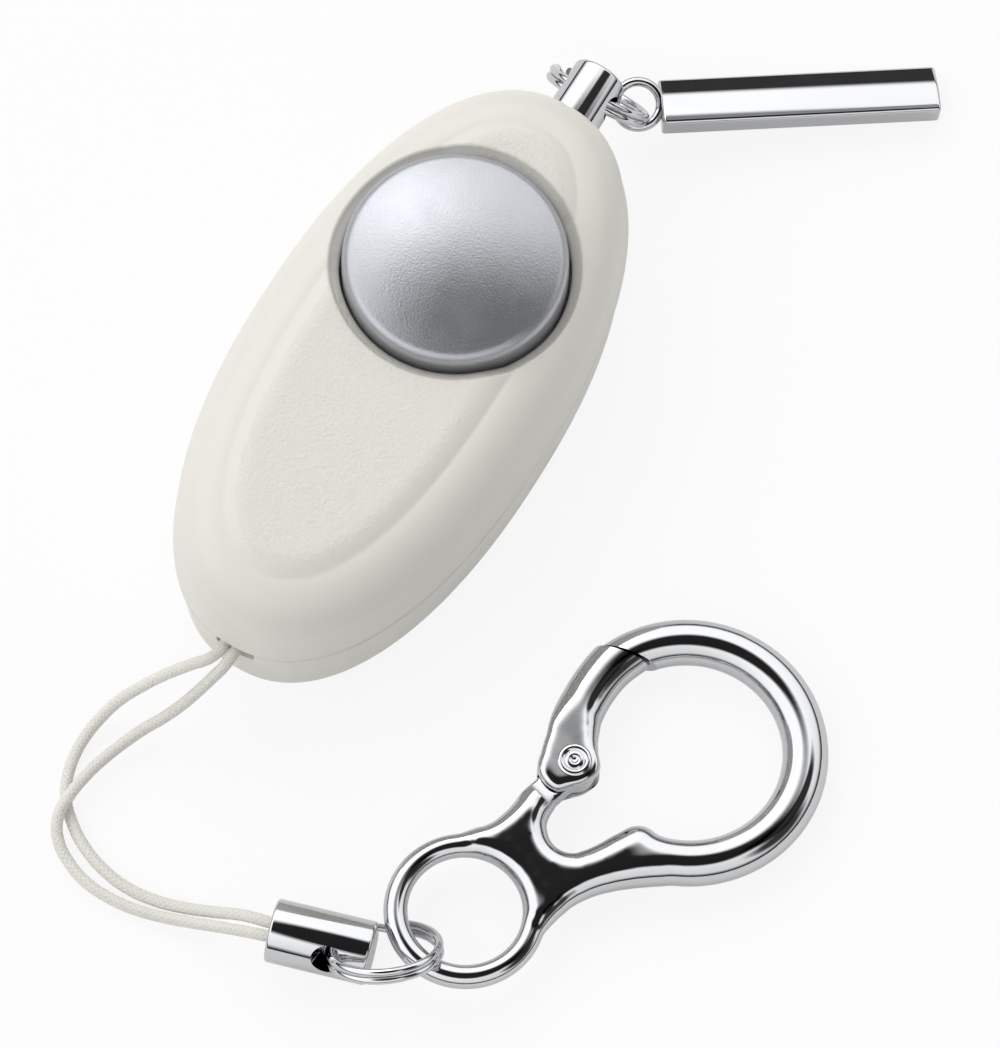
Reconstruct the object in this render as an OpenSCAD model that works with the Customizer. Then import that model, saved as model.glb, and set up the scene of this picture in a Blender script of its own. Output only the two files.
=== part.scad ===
// Personal safety alarm: an egg-shaped two-part case with a domed push button,
// a chrome pull pin with split ring and tag, and a cord lanyard with a snap clip.
// Millimetres. The back of the case lies on z = 0, the pull pin points along +Y.

/* [Case] */
// Length of the case outline at the seam
body_length = 65.2; // [62:0.2:72]
// Width of the case outline at the seam
body_width = 32.2; // [31:0.2:38]
// Fullness of the outline, 2 is an ellipse
outline_power = 2.25; // [2.1:0.05:2.5]
// Height of the seam above the back
seam_z = 11; // [10.6:0.1:13]
// Height of the front border above the seam
border_h = 9.2; // [8.8:0.1:11]
// Rise of the middle panel above the border
panel_rise = 0.8; // [0.4:0.1:1.2]
// Width of the rounded front shoulder
shoulder_w = 5; // [4:0.1:6]
// Height of the rounded front shoulder
shoulder_h = 5.1; // [4:0.1:6]
// Width of the slope between border and panel
slope_w = 2.5; // [1.5:0.1:3.5]
// Radius round the edge of the back
back_round = 4; // [3:0.1:5]
// Thickness of the case walls
wall = 1.8; // [1.4:0.1:2.2]
// Step between the two shells at the seam
seam_step = 0.15; // [0.1:0.05:0.3]

/* [Push button] */
// Radius of the push button
button_r = 11.25; // [10.6:0.05:11.6]
// Gap between the button and its well
well_gap = 1.15; // [0.8:0.05:1.4]
// Distance of the button from the case's pin end
button_from_end = 22.3; // [21.6:0.1:23.6]
// Height of the button's edge above the panel
button_edge = 1.2; // [0.6:0.1:2]
// Height of the dome above its edge
dome_h = 2; // [1.2:0.1:3]
// Travel of the button
button_travel = 1; // [0.6:0.1:1.2]
// Wire of the return spring
spring_wire = 0.6; // [0.4:0.05:0.7]
// Mean radius of the return spring
spring_r = 5.5; // [5.2:0.1:5.8]
// Turns of the return spring
spring_turns = 6; // [4:1:8]

/* [Electronics] */
// Thickness of the circuit board
board_t = 1; // [0.8:0.1:1.2]
// Height of the board's underside above the back
board_z = 9; // [8.9:0.1:9.3]
// Diameter of a coin cell
cell_d = 20; // [19:0.1:20]
// Thickness of a coin cell
cell_t = 3.15; // [2.8:0.05:3.2]
// Diameter of the sounder disc
sounder_d = 20; // [17:0.5:20]
// Side of the square tact switch
switch_side = 6; // [5:0.1:6.4]
// Height of the tact switch body
switch_h = 3.4; // [3:0.1:3.6]

/* [Pull pin] */
// Diameter of the chrome head
pin_d = 5.6; // [5:0.1:6]
// Length of the head outside the case
pin_out = 6; // [5.4:0.1:8]
// Diameter of the insulating shank
shank_d = 3.2; // [2.6:0.1:3.4]
// Diameter of the hole for the split ring
pin_hole_d = 2.8; // [2.7:0.05:3.2]
// Mean radius of the pull ring
pull_ring_r = 5.2; // [5:0.1:5.6]
// Radius of the ring wire
ring_wire_r = 0.42; // [0.35:0.01:0.44]
// Length of the tag bar
tag_l = 28.3; // [24:0.1:32]
// Width of the tag bar
tag_w = 5.7; // [5:0.1:6.4]
// Thickness of the tag bar
tag_t = 3; // [2.4:0.1:3.4]

/* [Lanyard] */
// Diameter of the cord
cord_d = 1.2; // [1:0.05:1.25]
// Diameter of the ferrule
ferrule_d = 6.4; // [6:0.1:6.4]
// Length of the ferrule
ferrule_l = 10.2; // [9.8:0.1:11]
// Diameter of the ferrule's ring hole
ferrule_hole_d = 3; // [2.9:0.05:3.2]
// Mean radius of the lanyard ring
lanyard_ring_r = 5.4; // [5.2:0.1:5.6]

/* [Snap clip] */
// Mean radius of the large ring
clip_ring_r = 11.65; // [11.2:0.05:12]
// Diameter of the large ring's wire
clip_wire_d = 4.5; // [4.2:0.1:4.6]
// Mean radius of the eye
eye_r = 6.85; // [6.6:0.05:7]
// Diameter of the eye's wire
eye_wire_d = 2.3; // [2:0.05:2.4]
// Distance from the eye's centre to the large ring's centre
eye_reach = 27.7; // [27:0.1:29]
// Diameter of the rivet shank
rivet_d = 1.6; // [1.2:0.1:1.8]
// Diameter of the rivet head
rivet_head_d = 3.4; // [2.8:0.1:3.8]
// Thickness of the gate's cheeks
cheek_t = 0.9; // [0.7:0.05:1]

/* [Fits] */
// Clearance round a moving part
run_gap = 0.1; // [0.06:0.01:0.1]
// Clearance round a turning pin
pin_gap = 0.05; // [0.02:0.01:0.08]
// Clearance between a fixed piece and its seat
seat_gap = 0.05; // [0.02:0.01:0.1]

/* [Hidden] */
$fn = 64;
eps = 0.01;

// Case levels and outline
half_l = body_length / 2;
half_w = body_width / 2;
button_y = half_l - button_from_end;
outline_count = 60;
front_draft = 0.4;
back_draft = 0.6;
border_z = seam_z + border_h;
panel_z = border_z + panel_rise;
arc_steps = 5;
slope_steps = 4;
floor_z = wall;
ceiling_z = border_z - wall;

function power(v, p) = sign(v) * pow(abs(v), p);

// One ring of outline points, drawn in by an inset, at a height
function outline_ring(inset, z) = [
  for (i = [0 : outline_count - 1])
    let (t = 360 * i / outline_count)
      [(half_w - inset) * power(sin(t), 2 / outline_power),
       (half_l - inset) * power(cos(t), 2 / outline_power), z]
];

// Crisp at its foot, soft at its top
function slope_step(s) = s * (2 - s);

// Section of the front shell as [inset, height], from the seam to the panel
front_section = concat(
  [[0, seam_z]],
  [for (k = [0 : arc_steps])
    let (a = 90 * k / arc_steps)
      [front_draft + shoulder_w * (1 - cos(a)), border_z - shoulder_h * (1 - sin(a))]],
  [for (k = [1 : slope_steps])
    [front_draft + shoulder_w + slope_w * k / slope_steps,
     border_z + panel_rise * slope_step(k / slope_steps)]]
);
front_hollow = concat(
  [[wall, seam_z - 1]],
  [for (k = [0 : 3])
    let (a = 30 * k)
      [front_draft + wall + (shoulder_w - 1) * (1 - cos(a)), ceiling_z - (shoulder_h - 1) * (1 - sin(a))]]
);
rear_section = concat(
  [for (k = [0 : arc_steps])
    let (a = 90 - 90 * k / arc_steps)
      [back_draft + back_round * (1 - cos(a)), back_round * (1 - sin(a))]],
  [[seam_step, seam_z]]
);
rear_hollow = concat(
  [for (k = [0 : 3])
    let (a = 90 - 30 * k)
      [back_draft + wall + (back_round - 1) * (1 - cos(a)), floor_z + (back_round - 1) * (1 - sin(a))]],
  [[wall + seam_step, seam_z + 1]]
);

// Button levels
well_r = button_r + well_gap;
well_foot_gap = 0.4;
well_wall = 1.2;
shelf_t = 1.5;
shelf_z = board_z + board_t + 4;
shelf_top_z = shelf_z + shelf_t;
well_slope = (well_gap - well_foot_gap) / (panel_z - shelf_top_z);
edge_z = panel_z + button_edge;
sleeve_r = button_r - 1.65;
sleeve_wall = 1.2;
shelf_bore_r = sleeve_r + run_gap;
hook_reach = 0.9;
hook_h = 1.1;
hook_gap = 0.3;
skirt_z = shelf_top_z + button_travel + 0.4;
button_under_z = panel_z - 0.4;
board_top_z = board_z + board_t;
switch_top_z = board_top_z + switch_h;
plunger_r = 1.7;
plunger_rise = 1.2;
plunger_share = 0.25;
press_gap = 0.05;
boss_z = switch_top_z + plunger_rise + button_travel * (1 - plunger_share) + press_gap;

// Return spring
spring_rings = 8;
spring_sides = 6;
spring_low = board_top_z + spring_wire / 2 + seat_gap;
spring_high = button_under_z - spring_wire / 2 - seat_gap;
spring_path = [
  for (i = [0 : spring_rings * spring_turns])
    let (a = 360 * i / spring_rings)
      [spring_r * cos(a), button_y + spring_r * sin(a),
       spring_low + (spring_high - spring_low) * i / (spring_rings * spring_turns)]
];
function coil_gap(path, per_turn, wire) = min([
  for (i = [0 : len(path) - 1 - per_turn])
    norm(path[i + per_turn] - path[i]) - wire
]);
echo(button_spring_least_gap = coil_gap(spring_path, spring_rings, spring_wire));

// Inner pieces
sounder_y = button_y - 0.8;
sounder_r = sounder_d / 2;
anchor_y = -half_l + 6;
anchor_r = 1.8;
cell_clear = 2;
cell_low_y = anchor_y + anchor_r + 2.3;
cell_high_y = sounder_y - sounder_r - cell_clear;
cell_r = min(cell_d, cell_high_y - cell_low_y) / 2;
cell_y = cell_high_y - cell_r;
contact_t = 0.3;
contact_w = 4;
cell_z = floor_z + contact_t + seat_gap;
cradle_gap = 0.15;
cradle_t = 1;
cradle_h = 4;
cradle_window = 6;
sounder_seat_h = 2.4;
sounder_z = floor_z + sounder_seat_h;
sounder_t = 0.4;
ceramic_t = 0.25;
slot_count = 5;
slot_pitch = 2.6;
slot_w = 1.2;
slot_l = 10;
post_r = 1.5;
peg_r = 0.7;
peg_h = 0.6;
post_x = [half_w - 4.9, half_w - 6.7];
post_y = [button_y - 10.9, button_y + 8.3];
posts = [for (k = [0, 1], s = [1, -1]) [s * post_x[k], post_y[k]]];
board_inset = wall + 1.2;
board_low_y = cell_y - 1.5;
board_high_y = half_l - 12.4;
tongue_w = 6.4;
tongue_y = half_l - 10;
chip_y = post_y[0] - 5.4;
coil_place = [half_w - 8.5, post_y[0] - 5.9];
transistor_place = [-half_w + 6.5, post_y[0] - 6.9];

// Screws
screw_x = [0.4472 * half_w, 0.4224 * half_w];
screw_y = [-half_l + 7.6, half_l - 8.2];
screws = [for (k = [0, 1], s = [1, -1]) [s * screw_x[k], screw_y[k]]];
screw_boss_r = 2.2;
screw_d = 1.8;
screw_head_d = 3.4;
screw_head_h = 1.4;
screw_sink = 2.2;
screw_l = 14;
screw_boss_top = ceiling_z + wall / 2;
screw_pilot_top = ceiling_z - wall;

// Pull pin: the head starts inside the case end
pin_z = seam_z;
pin_r = pin_d / 2;
pin_seat_y = half_l - 1.4;
pin_tip_y = half_l + pin_out;
pin_boss_r = pin_r + 1.4;
pin_boss_y = half_l - 4;
pin_chamfer = 0.35;
shank_r = shank_d / 2;
shank_tip_y = half_l - 9.6;
pin_hole_y = pin_tip_y - 2.75;
leaf_t = 0.3;
leaf_h = 2.2;
leaf_low_y = tongue_y - 1.4;
leaf_high_y = half_l - 4.4;

// Pull ring: two turns of wire side by side, through the pin's hole
turn_pitch = 2 * ring_wire_r - 0.04;
function ring_sag(ring_r, chord) = ring_r - sqrt(ring_r * ring_r - chord * chord / 4);
pull_lean = 27;
pull_reach = pull_ring_r - ring_sag(pull_ring_r, pin_d) / 2;
pull_centre = [0, pin_hole_y + pull_reach * sin(pull_lean), pin_z - pull_reach * cos(pull_lean)];

// Tag: its loop hangs on the pull ring
loop_r = 2.3;
loop_wire_r = 0.5;
tag_heading = 35.5;
tag_roll = 20;
tag_round = 0.7;
tag_on_ring = 48;
tag_drop = 3.5;
tag_shift = 0.25;
tag_side = 0.75;
loop_place = pull_centre
  + pull_ring_r * cos(tag_on_ring) * [1, 0, 0]
  + pull_ring_r * sin(tag_on_ring) * [0, sin(pull_lean), -cos(pull_lean)];

// Cord route: out of the slot, down to the table and along it to the ferrule
cord_z = seam_z - 0.7;
cord_slot_x = 0.4;
cord_slot_w = 4.2;
cord_slot_h = 1.4;
cord_sides = 8;
anchor_x = 0.5;
anchor_boss_r = 3;
anchor_wrap_r = anchor_r + cord_d / 2 + seat_gap;
cord_a_lay = [
  [-0.8, 0.4, cord_z], [-0.8, -0.6, cord_z], [-1.3, -1.8, 10], [-2.7, -3, 9], [-4.7, -4.6, 7.1],
  [-6.6, -6.3, 4.8], [-8.2, -8.2, 2.8], [-9.1, -10.2, 1.4], [-9.5, -12.4, 0.8], [-9.4, -14.7, 0.65],
  [-8.8, -17, 0.65], [-7.6, -19.2, 0.65], [-5.8, -20.9, 0.65], [-3.4, -22.4, 0.65], [-0.6, -23.4, 0.65],
  [2.4, -23.8, 0.65], [5.4, -23.5, 0.7], [8.2, -22.8, 1], [11, -21.9, 1.7], [14, -20.9, 2.7],
  [17.1, -20.2, 3.2], [20, -19.35, 3.2]
];
cord_b_lay = [
  [0.5, 0.4, cord_z], [0.5, -0.6, cord_z], [0.3, -1.8, 9.8], [-0.3, -3, 8.6], [-1.1, -4.3, 6.9],
  [-2.1, -5.8, 5], [-3.3, -7.5, 3.4], [-4.7, -9.4, 2.2], [-5.8, -11.6, 1.6], [-6.6, -13.9, 1.5],
  [-7.1, -16.4, 1.8], [-7.3, -18.9, 2.1], [-7.2, -21.2, 1.8], [-6.1, -23.1, 1.1], [-4, -24.5, 0.65],
  [-1.4, -25.4, 0.65], [1.4, -25.6, 0.65], [4.2, -25.3, 0.65], [7, -24.6, 0.8], [9.8, -23.8, 1.4],
  [12.6, -23, 2.3], [15, -22.3, 2.9], [17.5, -21.55, 3.2], [20.4, -20.65, 3.2]
];
cord_in_lay = [[-0.8, 0.4, cord_z], [-0.8, 1.7, cord_z], [-1.4, 3.2, cord_z], [-1.9, 4.6, cord_z]];
cord_out_lay = [[2.6, 4.4, cord_z], [1.6, 2.8, cord_z], [0.5, 1.7, cord_z], [0.5, 0.4, cord_z]];

// Points of a route, counted from the foot of the case
function from_foot(route) = [for (p = route) p - [0, half_l, 0]];

cord_a_path = from_foot(cord_a_lay);
cord_b_path = from_foot(cord_b_lay);
cord_bend_path = concat(
  from_foot(cord_in_lay),
  [for (a = [180 : -30 : 0])
    [anchor_x + anchor_wrap_r * cos(a), anchor_y + anchor_wrap_r * sin(a), cord_z]],
  from_foot(cord_out_lay)
);

// Ferrule, lanyard ring and clip, as they lie on the table
ferrule_r = ferrule_d / 2;
ferrule_start = [17.3, -half_l - 20.86, ferrule_r];
ferrule_turn = 16.8;
ferrule_hole_at = ferrule_l - 3.3;
ferrule_pocket_r = cord_d + 0.15;
ferrule_pocket_l = 3.6;
lanyard_rise = 20;
lanyard_tilt = 42;
lanyard_reach = lanyard_ring_r - ring_sag(lanyard_ring_r, ferrule_d) / 2;
clip_place = [42.87, -half_l + 16.17];
clip_turn = -21.6;
clip_pitch = 2;
clip_wire_r = clip_wire_d / 2;
clip_z = clip_wire_r + (clip_ring_r + clip_wire_r) * sin(clip_pitch);
eye_wire_r = eye_wire_d / 2;
eye_hole_r = eye_r - eye_wire_r;
yoke_t = clip_wire_d - 0.9;
rivet_place = [-5.5, -10];
rivet_r = rivet_d / 2;
rivet_head_t = 0.3;
hub_r = 2.4;
channel_r = 5.2;
gate_sweep_r = 4.9;
gate_round = 0.4;
lug_t = clip_wire_d - 2 * cheek_t - 2 * run_gap - 0.1;
nose_gap = 0.25;
nose_a = [-14.2, -0.5];
nose_b = [-9, 2.8];
gate_spring_wire = 0.3;
gate_spring_r = 1.45;
gate_spring_turns = 2;
gate_spring_pitch = 0.75;
spring_pocket_r = gate_spring_r + gate_spring_wire / 2 + 0.15;
gate_spring_path = [
  for (i = [0 : 8 * gate_spring_turns])
    let (a = 45 * i)
      [rivet_place[0] + gate_spring_r * cos(a), rivet_place[1] + gate_spring_r * sin(a),
       gate_spring_pitch * (i / 8 - gate_spring_turns / 2)]
];
echo(gate_spring_least_gap = coil_gap(gate_spring_path, 8, gate_spring_wire));

ivory = [0.93, 0.92, 0.88];
satin = [0.72, 0.73, 0.76];
chrome = [0.8, 0.81, 0.83];
brass = [0.8, 0.68, 0.38];
copper = [0.78, 0.45, 0.28];
black = [0.12, 0.12, 0.13];
green = [0.12, 0.38, 0.24];

// Solid through a stack of outline rings
module loft(section) {
  n = outline_count;
  rings = [for (s = section) outline_ring(s[0], s[1])];
  points = [for (r = rings) each r];
  top = len(section) - 1;
  sides = [
    for (k = [0 : top - 1], i = [0 : n - 1])
      let (j = (i + 1) % n)
        each [[k * n + i, k * n + j, (k + 1) * n + j], [k * n + i, (k + 1) * n + j, (k + 1) * n + i]]
  ];
  bottom_cap = [for (i = [n - 1 : -1 : 0]) i];
  top_cap = [for (i = [0 : n - 1]) top * n + i];
  polyhedron(points, concat(sides, [bottom_cap, top_cap]), convexity = 6);
}

// Round tube along a list of points
module tube_along(path, r, count) {
  last = len(path) - 1;
  rings = [
    for (i = [0 : last])
      let (
        t = path[min(i + 1, last)] - path[max(i - 1, 0)],
        along = t / norm(t),
        s = cross(along, [0, 0, 1]),
        side = s / norm(s),
        up = cross(side, along)
      )
        [for (k = [0 : count - 1]) path[i] + r * (cos(360 * k / count) * side + sin(360 * k / count) * up)]
  ];
  sides = [
    for (i = [0 : last - 1], k = [0 : count - 1])
      let (
        m = (k + 1) % count,
        a = i * count + k,
        b = a + count,
        c = (i + 1) * count + m,
        d = i * count + m
      )
        each [[a, d, c], [a, c, b]]
  ];
  start_cap = [for (k = [count - 1 : -1 : 0]) k];
  end_cap = [for (k = [0 : count - 1]) last * count + k];
  polyhedron([for (r = rings) each r], concat(sides, [start_cap, end_cap]), convexity = 8);
}

// Split ring in the XY plane: two turns of wire side by side
module split_ring(ring_r) {
  rotate_extrude()
    translate([ring_r, 0])
      for (s = [-1, 1])
        translate([0, s * turn_pitch / 2])
          circle(ring_wire_r, $fn = 24);
}

module at_each(places) {
  for (p = places)
    translate([p[0], p[1], 0])
      children();
}

module upright(r, low, high) {
  translate([0, 0, low])
    cylinder(r = r, h = high - low);
}

// Cylinder along +Y on the pull pin's axis
module pin_bar(r, low, high) {
  translate([0, low, pin_z])
    rotate([-90, 0, 0])
      cylinder(r = r, h = high - low);
}

module front_shell() {
  color(ivory)
    difference() {
      union() {
        difference() {
          loft(front_section);
          loft(front_hollow);
        }
        intersection() {
          loft(front_section);
          union() {
            translate([0, button_y, 0])
              upright(well_r + well_wall, shelf_z, panel_z + 1);
            at_each(screws)
              upright(screw_boss_r, seam_z, screw_boss_top);
            translate([anchor_x, anchor_y, 0])
              upright(anchor_boss_r, cord_z + cord_d / 2 + 0.3, screw_boss_top);
            pin_bar(pin_boss_r, pin_boss_y, half_l + 1);
          }
        }
      }
      translate([0, button_y, 0]) {
        translate([0, 0, shelf_top_z])
          cylinder(r1 = button_r + well_foot_gap, r2 = well_r + well_slope, h = panel_z + 1 - shelf_top_z);
        upright(shelf_bore_r, shelf_z - 1, panel_z + 2);
      }
      at_each(screws)
        upright(screw_d / 2 + seat_gap, seam_z - 1, screw_pilot_top);
      translate([anchor_x, anchor_y, 0])
        upright(anchor_r + seat_gap, seam_z - 1, seam_z + 5 + seat_gap);
      pin_bar(shank_r + run_gap, pin_boss_y - 1, half_l + 1);
      pin_bar(pin_r + run_gap, pin_seat_y - seat_gap, half_l + 2);
    }
}

module rear_shell() {
  color(ivory)
    difference() {
      union() {
        difference() {
          loft(rear_section);
          loft(rear_hollow);
        }
        intersection() {
          loft(rear_section);
          union() {
            at_each(screws)
              upright(screw_boss_r, floor_z - 1, seam_z);
            translate([anchor_x, anchor_y, 0])
              upright(anchor_boss_r, floor_z - 1, cord_z - cord_d / 2 - 0.3);
            pin_bar(pin_boss_r, pin_boss_y, half_l + 1);
          }
        }
        at_each(posts) {
          upright(post_r, floor_z - 1, board_z);
          upright(peg_r, board_z - 1, board_top_z + peg_h);
        }
        translate([0, sounder_y, 0])
          difference() {
            upright(sounder_r + 0.2, floor_z - 1, sounder_z);
            upright(sounder_r - 1, floor_z - 2, sounder_z + 1);
          }
        translate([0, cell_y, 0])
          difference() {
            upright(cell_r + cradle_gap + cradle_t, floor_z - 1, floor_z + cradle_h);
            upright(cell_r + cradle_gap, floor_z - 2, floor_z + cradle_h + 1);
            translate([-cradle_window / 2, -cell_r - 4, floor_z])
              cube([cradle_window, 2 * cell_r + 8, cradle_h + 1]);
          }
      }
      at_each(screws) {
        upright(screw_d / 2 + 0.15, -1, seam_z + 1);
        upright(screw_head_d / 2 + 0.3, -1, screw_sink);
      }
      translate([anchor_x, anchor_y, 0])
        upright(anchor_r + seat_gap, seam_z - 5 - seat_gap, seam_z + 1);
      pin_bar(shank_r + run_gap, pin_boss_y - 1, half_l + 1);
      pin_bar(pin_r + run_gap, pin_seat_y - seat_gap, half_l + 2);
      translate([cord_slot_x - cord_slot_w / 2, -half_l - 1, seam_z - cord_slot_h])
        cube([cord_slot_w, wall + 2, cord_slot_h + 1]);
      for (k = [0 : slot_count - 1])
        translate([-slot_l / 2, sounder_y + (k - (slot_count - 1) / 2) * slot_pitch - slot_w / 2, -1])
          cube([slot_l, slot_w, floor_z + 2]);
    }
}

module button_cap() {
  dome_r = (button_r * button_r + dome_h * dome_h) / (2 * dome_h);
  edge_a = asin(button_r / dome_r);
  dome_steps = 8;
  color(satin)
    translate([0, button_y, 0])
      difference() {
        rotate_extrude() {
          polygon(concat(
            [for (k = [0 : dome_steps])
              let (a = edge_a * k / dome_steps)
                [dome_r * sin(a), edge_z + dome_h - dome_r * (1 - cos(a))]],
            [[button_r, skirt_z], [button_r - 1.2, skirt_z], [button_r - 1.2, button_under_z],
             [sleeve_r, button_under_z], [sleeve_r, shelf_z - hook_gap],
             [sleeve_r + hook_reach, shelf_z - hook_gap], [sleeve_r, shelf_z - hook_gap - hook_h],
             [sleeve_r - sleeve_wall, shelf_z - hook_gap - hook_h], [sleeve_r - sleeve_wall, button_under_z],
             [plunger_r + 0.5, button_under_z], [plunger_r + 0.5, boss_z], [0, boss_z]]
          ));
        }
        for (a = [45 : 90 : 315])
          rotate([0, 0, a])
            translate([sleeve_r - sleeve_wall - 1, -2, shelf_z - hook_gap - hook_h - 1])
              cube([sleeve_wall + hook_reach + 2, 4, hook_h + shelf_t + 2]);
      }
}

module button_spring() {
  color(chrome)
    tube_along(spring_path, spring_wire / 2, spring_sides);
}

module circuit_board() {
  color(green)
    difference() {
      union() {
        translate([0, 0, board_z])
          linear_extrude(board_t)
            intersection() {
              polygon([for (q = outline_ring(board_inset, 0)) [q[0], q[1]]]);
              translate([-half_w, board_low_y])
                square([body_width, board_high_y - board_low_y]);
            }
        translate([-tongue_w / 2, board_high_y - 1, board_z])
          cube([tongue_w, tongue_y - board_high_y + 1, board_t]);
      }
      at_each(posts)
        upright(peg_r + seat_gap, board_z - 1, board_top_z + 1);
    }
}

module tact_switch() {
  color(black)
    difference() {
      translate([-switch_side / 2, button_y - switch_side / 2, board_top_z])
        cube([switch_side, switch_side, switch_h]);
      translate([0, button_y, 0])
        upright(plunger_r + pin_gap, switch_top_z - 1.6, switch_top_z + 1);
    }
}

module switch_plunger() {
  color(ivory)
    translate([0, button_y, 0])
      upright(plunger_r, switch_top_z - 1.2, switch_top_z + plunger_rise);
}

module driver_chip() {
  color(black)
    translate([-2.5, chip_y, board_top_z])
      cube([5, 4, 1.5]);
}

module boost_coil() {
  color(copper)
    translate([coil_place[0], coil_place[1], 0])
      difference() {
        upright(3, board_top_z, board_top_z + 4);
        difference() {
          upright(4, board_top_z + 0.8, board_top_z + 3.2);
          upright(2.2, board_top_z, board_top_z + 4);
        }
      }
}

module drive_transistor() {
  color(black)
    translate([transistor_place[0], transistor_place[1], board_top_z])
      cube([3, 2.6, 1.2]);
}

module coin_cells() {
  color(chrome)
    translate([0, cell_y, cell_z])
      for (k = [0, 1])
        translate([0, 0, k * (cell_t + seat_gap)])
          cylinder(r = cell_r, h = cell_t);
}

module cell_base_contact() {
  tail_reach = cell_r + cradle_gap + cradle_t / 2 + seat_gap;
  color(brass)
    translate([-contact_w / 2, cell_y - tail_reach, floor_z]) {
      cube([contact_w, tail_reach, contact_t]);
      cube([contact_w, contact_t, board_z - floor_z - contact_t]);
    }
}

module cell_top_contact() {
  cells_top = cell_z + 2 * cell_t + 2 * seat_gap;
  color(brass)
    translate([-3, cell_y - 1, cells_top])
      cube([6, 8, board_z - cells_top]);
}

module sounder_disc() {
  color(brass)
    translate([0, sounder_y, 0])
      upright(sounder_r, sounder_z, sounder_z + sounder_t);
}

module sounder_ceramic() {
  color(ivory)
    translate([0, sounder_y, 0])
      upright(sounder_r * 0.7, sounder_z + sounder_t, sounder_z + sounder_t + ceramic_t);
}

module pin_contacts() {
  color(brass)
    for (s = [0, 1])
      mirror([s, 0, 0]) {
        translate([shank_r + run_gap, leaf_low_y, board_top_z])
          cube([leaf_t, leaf_high_y - leaf_low_y, leaf_h]);
        translate([shank_r + run_gap, leaf_low_y, board_top_z])
          cube([1.2, 1.2, leaf_t]);
      }
}

module case_screws() {
  color(chrome)
    at_each(screws) {
      upright(screw_d / 2, screw_sink - eps, screw_sink + screw_l - 2);
      difference() {
        upright(screw_head_d / 2, screw_sink - screw_head_h, screw_sink);
        for (a = [0, 90])
          rotate([0, 0, a])
            translate([-1, -0.2, screw_sink - screw_head_h - 1])
              cube([2, 0.4, 1.6]);
      }
    }
}

module cord_anchor_pin() {
  color(chrome)
    translate([anchor_x, anchor_y, 0])
      upright(anchor_r, seam_z - 5, seam_z + 5);
}

module pull_pin_head() {
  color(chrome)
    difference() {
      translate([0, pin_seat_y, pin_z])
        rotate([-90, 0, 0])
          rotate_extrude()
            polygon([
              [0, 0], [pin_r, 0], [pin_r, pin_tip_y - pin_seat_y - pin_chamfer],
              [pin_r - pin_chamfer, pin_tip_y - pin_seat_y], [0, pin_tip_y - pin_seat_y]
            ]);
      translate([-pin_d, pin_hole_y, pin_z])
        rotate([0, 90, 0])
          cylinder(d = pin_hole_d, h = 2 * pin_d);
    }
}

module pull_pin_shank() {
  color(black)
    pin_bar(shank_r, shank_tip_y, pin_seat_y);
}

module pull_ring() {
  color(chrome)
    translate(pull_centre)
      rotate([90 + pull_lean, 0, 0])
        split_ring(pull_ring_r);
}

module pull_tag() {
  color(chrome)
    translate(loop_place)
      rotate([0, 0, tag_heading])
        rotate([0, tag_drop, 0])
          rotate([tag_roll, 0, 0])
            translate([tag_shift, tag_side, 0]) {
              rotate_extrude()
                translate([loop_r, 0])
                  circle(loop_wire_r, $fn = 24);
              translate([loop_r, 0, 0])
                rotate([-tag_roll, 0, 0])
                  hull()
                    for (x = [tag_round, tag_l - tag_round], y = [-1, 1], z = [-1, 1])
                      translate([x, y * (tag_w / 2 - tag_round), z * (tag_t / 2 - tag_round)])
                        sphere(tag_round, $fn = 20);
            }
}

module lanyard_cord_bend() {
  color(ivory)
    tube_along(cord_bend_path, cord_d / 2, cord_sides);
}

module lanyard_cord_a() {
  color(ivory)
    tube_along(cord_a_path, cord_d / 2, cord_sides);
}

module lanyard_cord_b() {
  color(ivory)
    tube_along(cord_b_path, cord_d / 2, cord_sides);
}

// Ferrule frame: X runs along the ferrule from its cord end
module in_ferrule() {
  translate(ferrule_start)
    rotate([0, 0, ferrule_turn])
      children();
}

// Ring frame: the hole's centre, X toward the ring's centre, Y along the hole
module in_lanyard_hole() {
  in_ferrule()
    translate([ferrule_hole_at, 0, 0])
      rotate([0, -lanyard_rise, 0])
        rotate([-lanyard_tilt, 0, 0])
          children();
}

module cord_ferrule() {
  color(chrome)
    difference() {
      in_ferrule()
        rotate([0, 90, 0])
          cylinder(r = ferrule_r, h = ferrule_l);
      in_ferrule()
        translate([-1, 0, 0])
          rotate([0, 90, 0])
            cylinder(r = ferrule_pocket_r, h = ferrule_pocket_l + 1);
      in_lanyard_hole()
        rotate([90, 0, 0])
          cylinder(d = ferrule_hole_d, h = 3 * ferrule_d, center = true);
    }
}

module lanyard_ring() {
  color(chrome)
    in_lanyard_hole()
      translate([lanyard_reach, 0, 0])
        split_ring(lanyard_ring_r);
}

// Clip frame: the large ring's centre, Y away from the eye
module in_clip() {
  translate([clip_place[0], clip_place[1], clip_z])
    rotate([0, 0, clip_turn])
      rotate([-clip_pitch, 0, 0])
        children();
}

// Flat slab, centred on the clip's plane
module slab(t) {
  translate([0, 0, -t / 2])
    linear_extrude(t)
      children();
}

// Beyond the slanted joint between gate and ring
module beyond_nose(shift) {
  along = (nose_b - nose_a) / norm(nose_b - nose_a);
  away = [-along[1], along[0]];
  a = nose_a - 6 * along + shift * away;
  b = nose_b + 6 * along + shift * away;
  polygon([a, b, b + 14 * away, a + 14 * away]);
}

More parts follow.
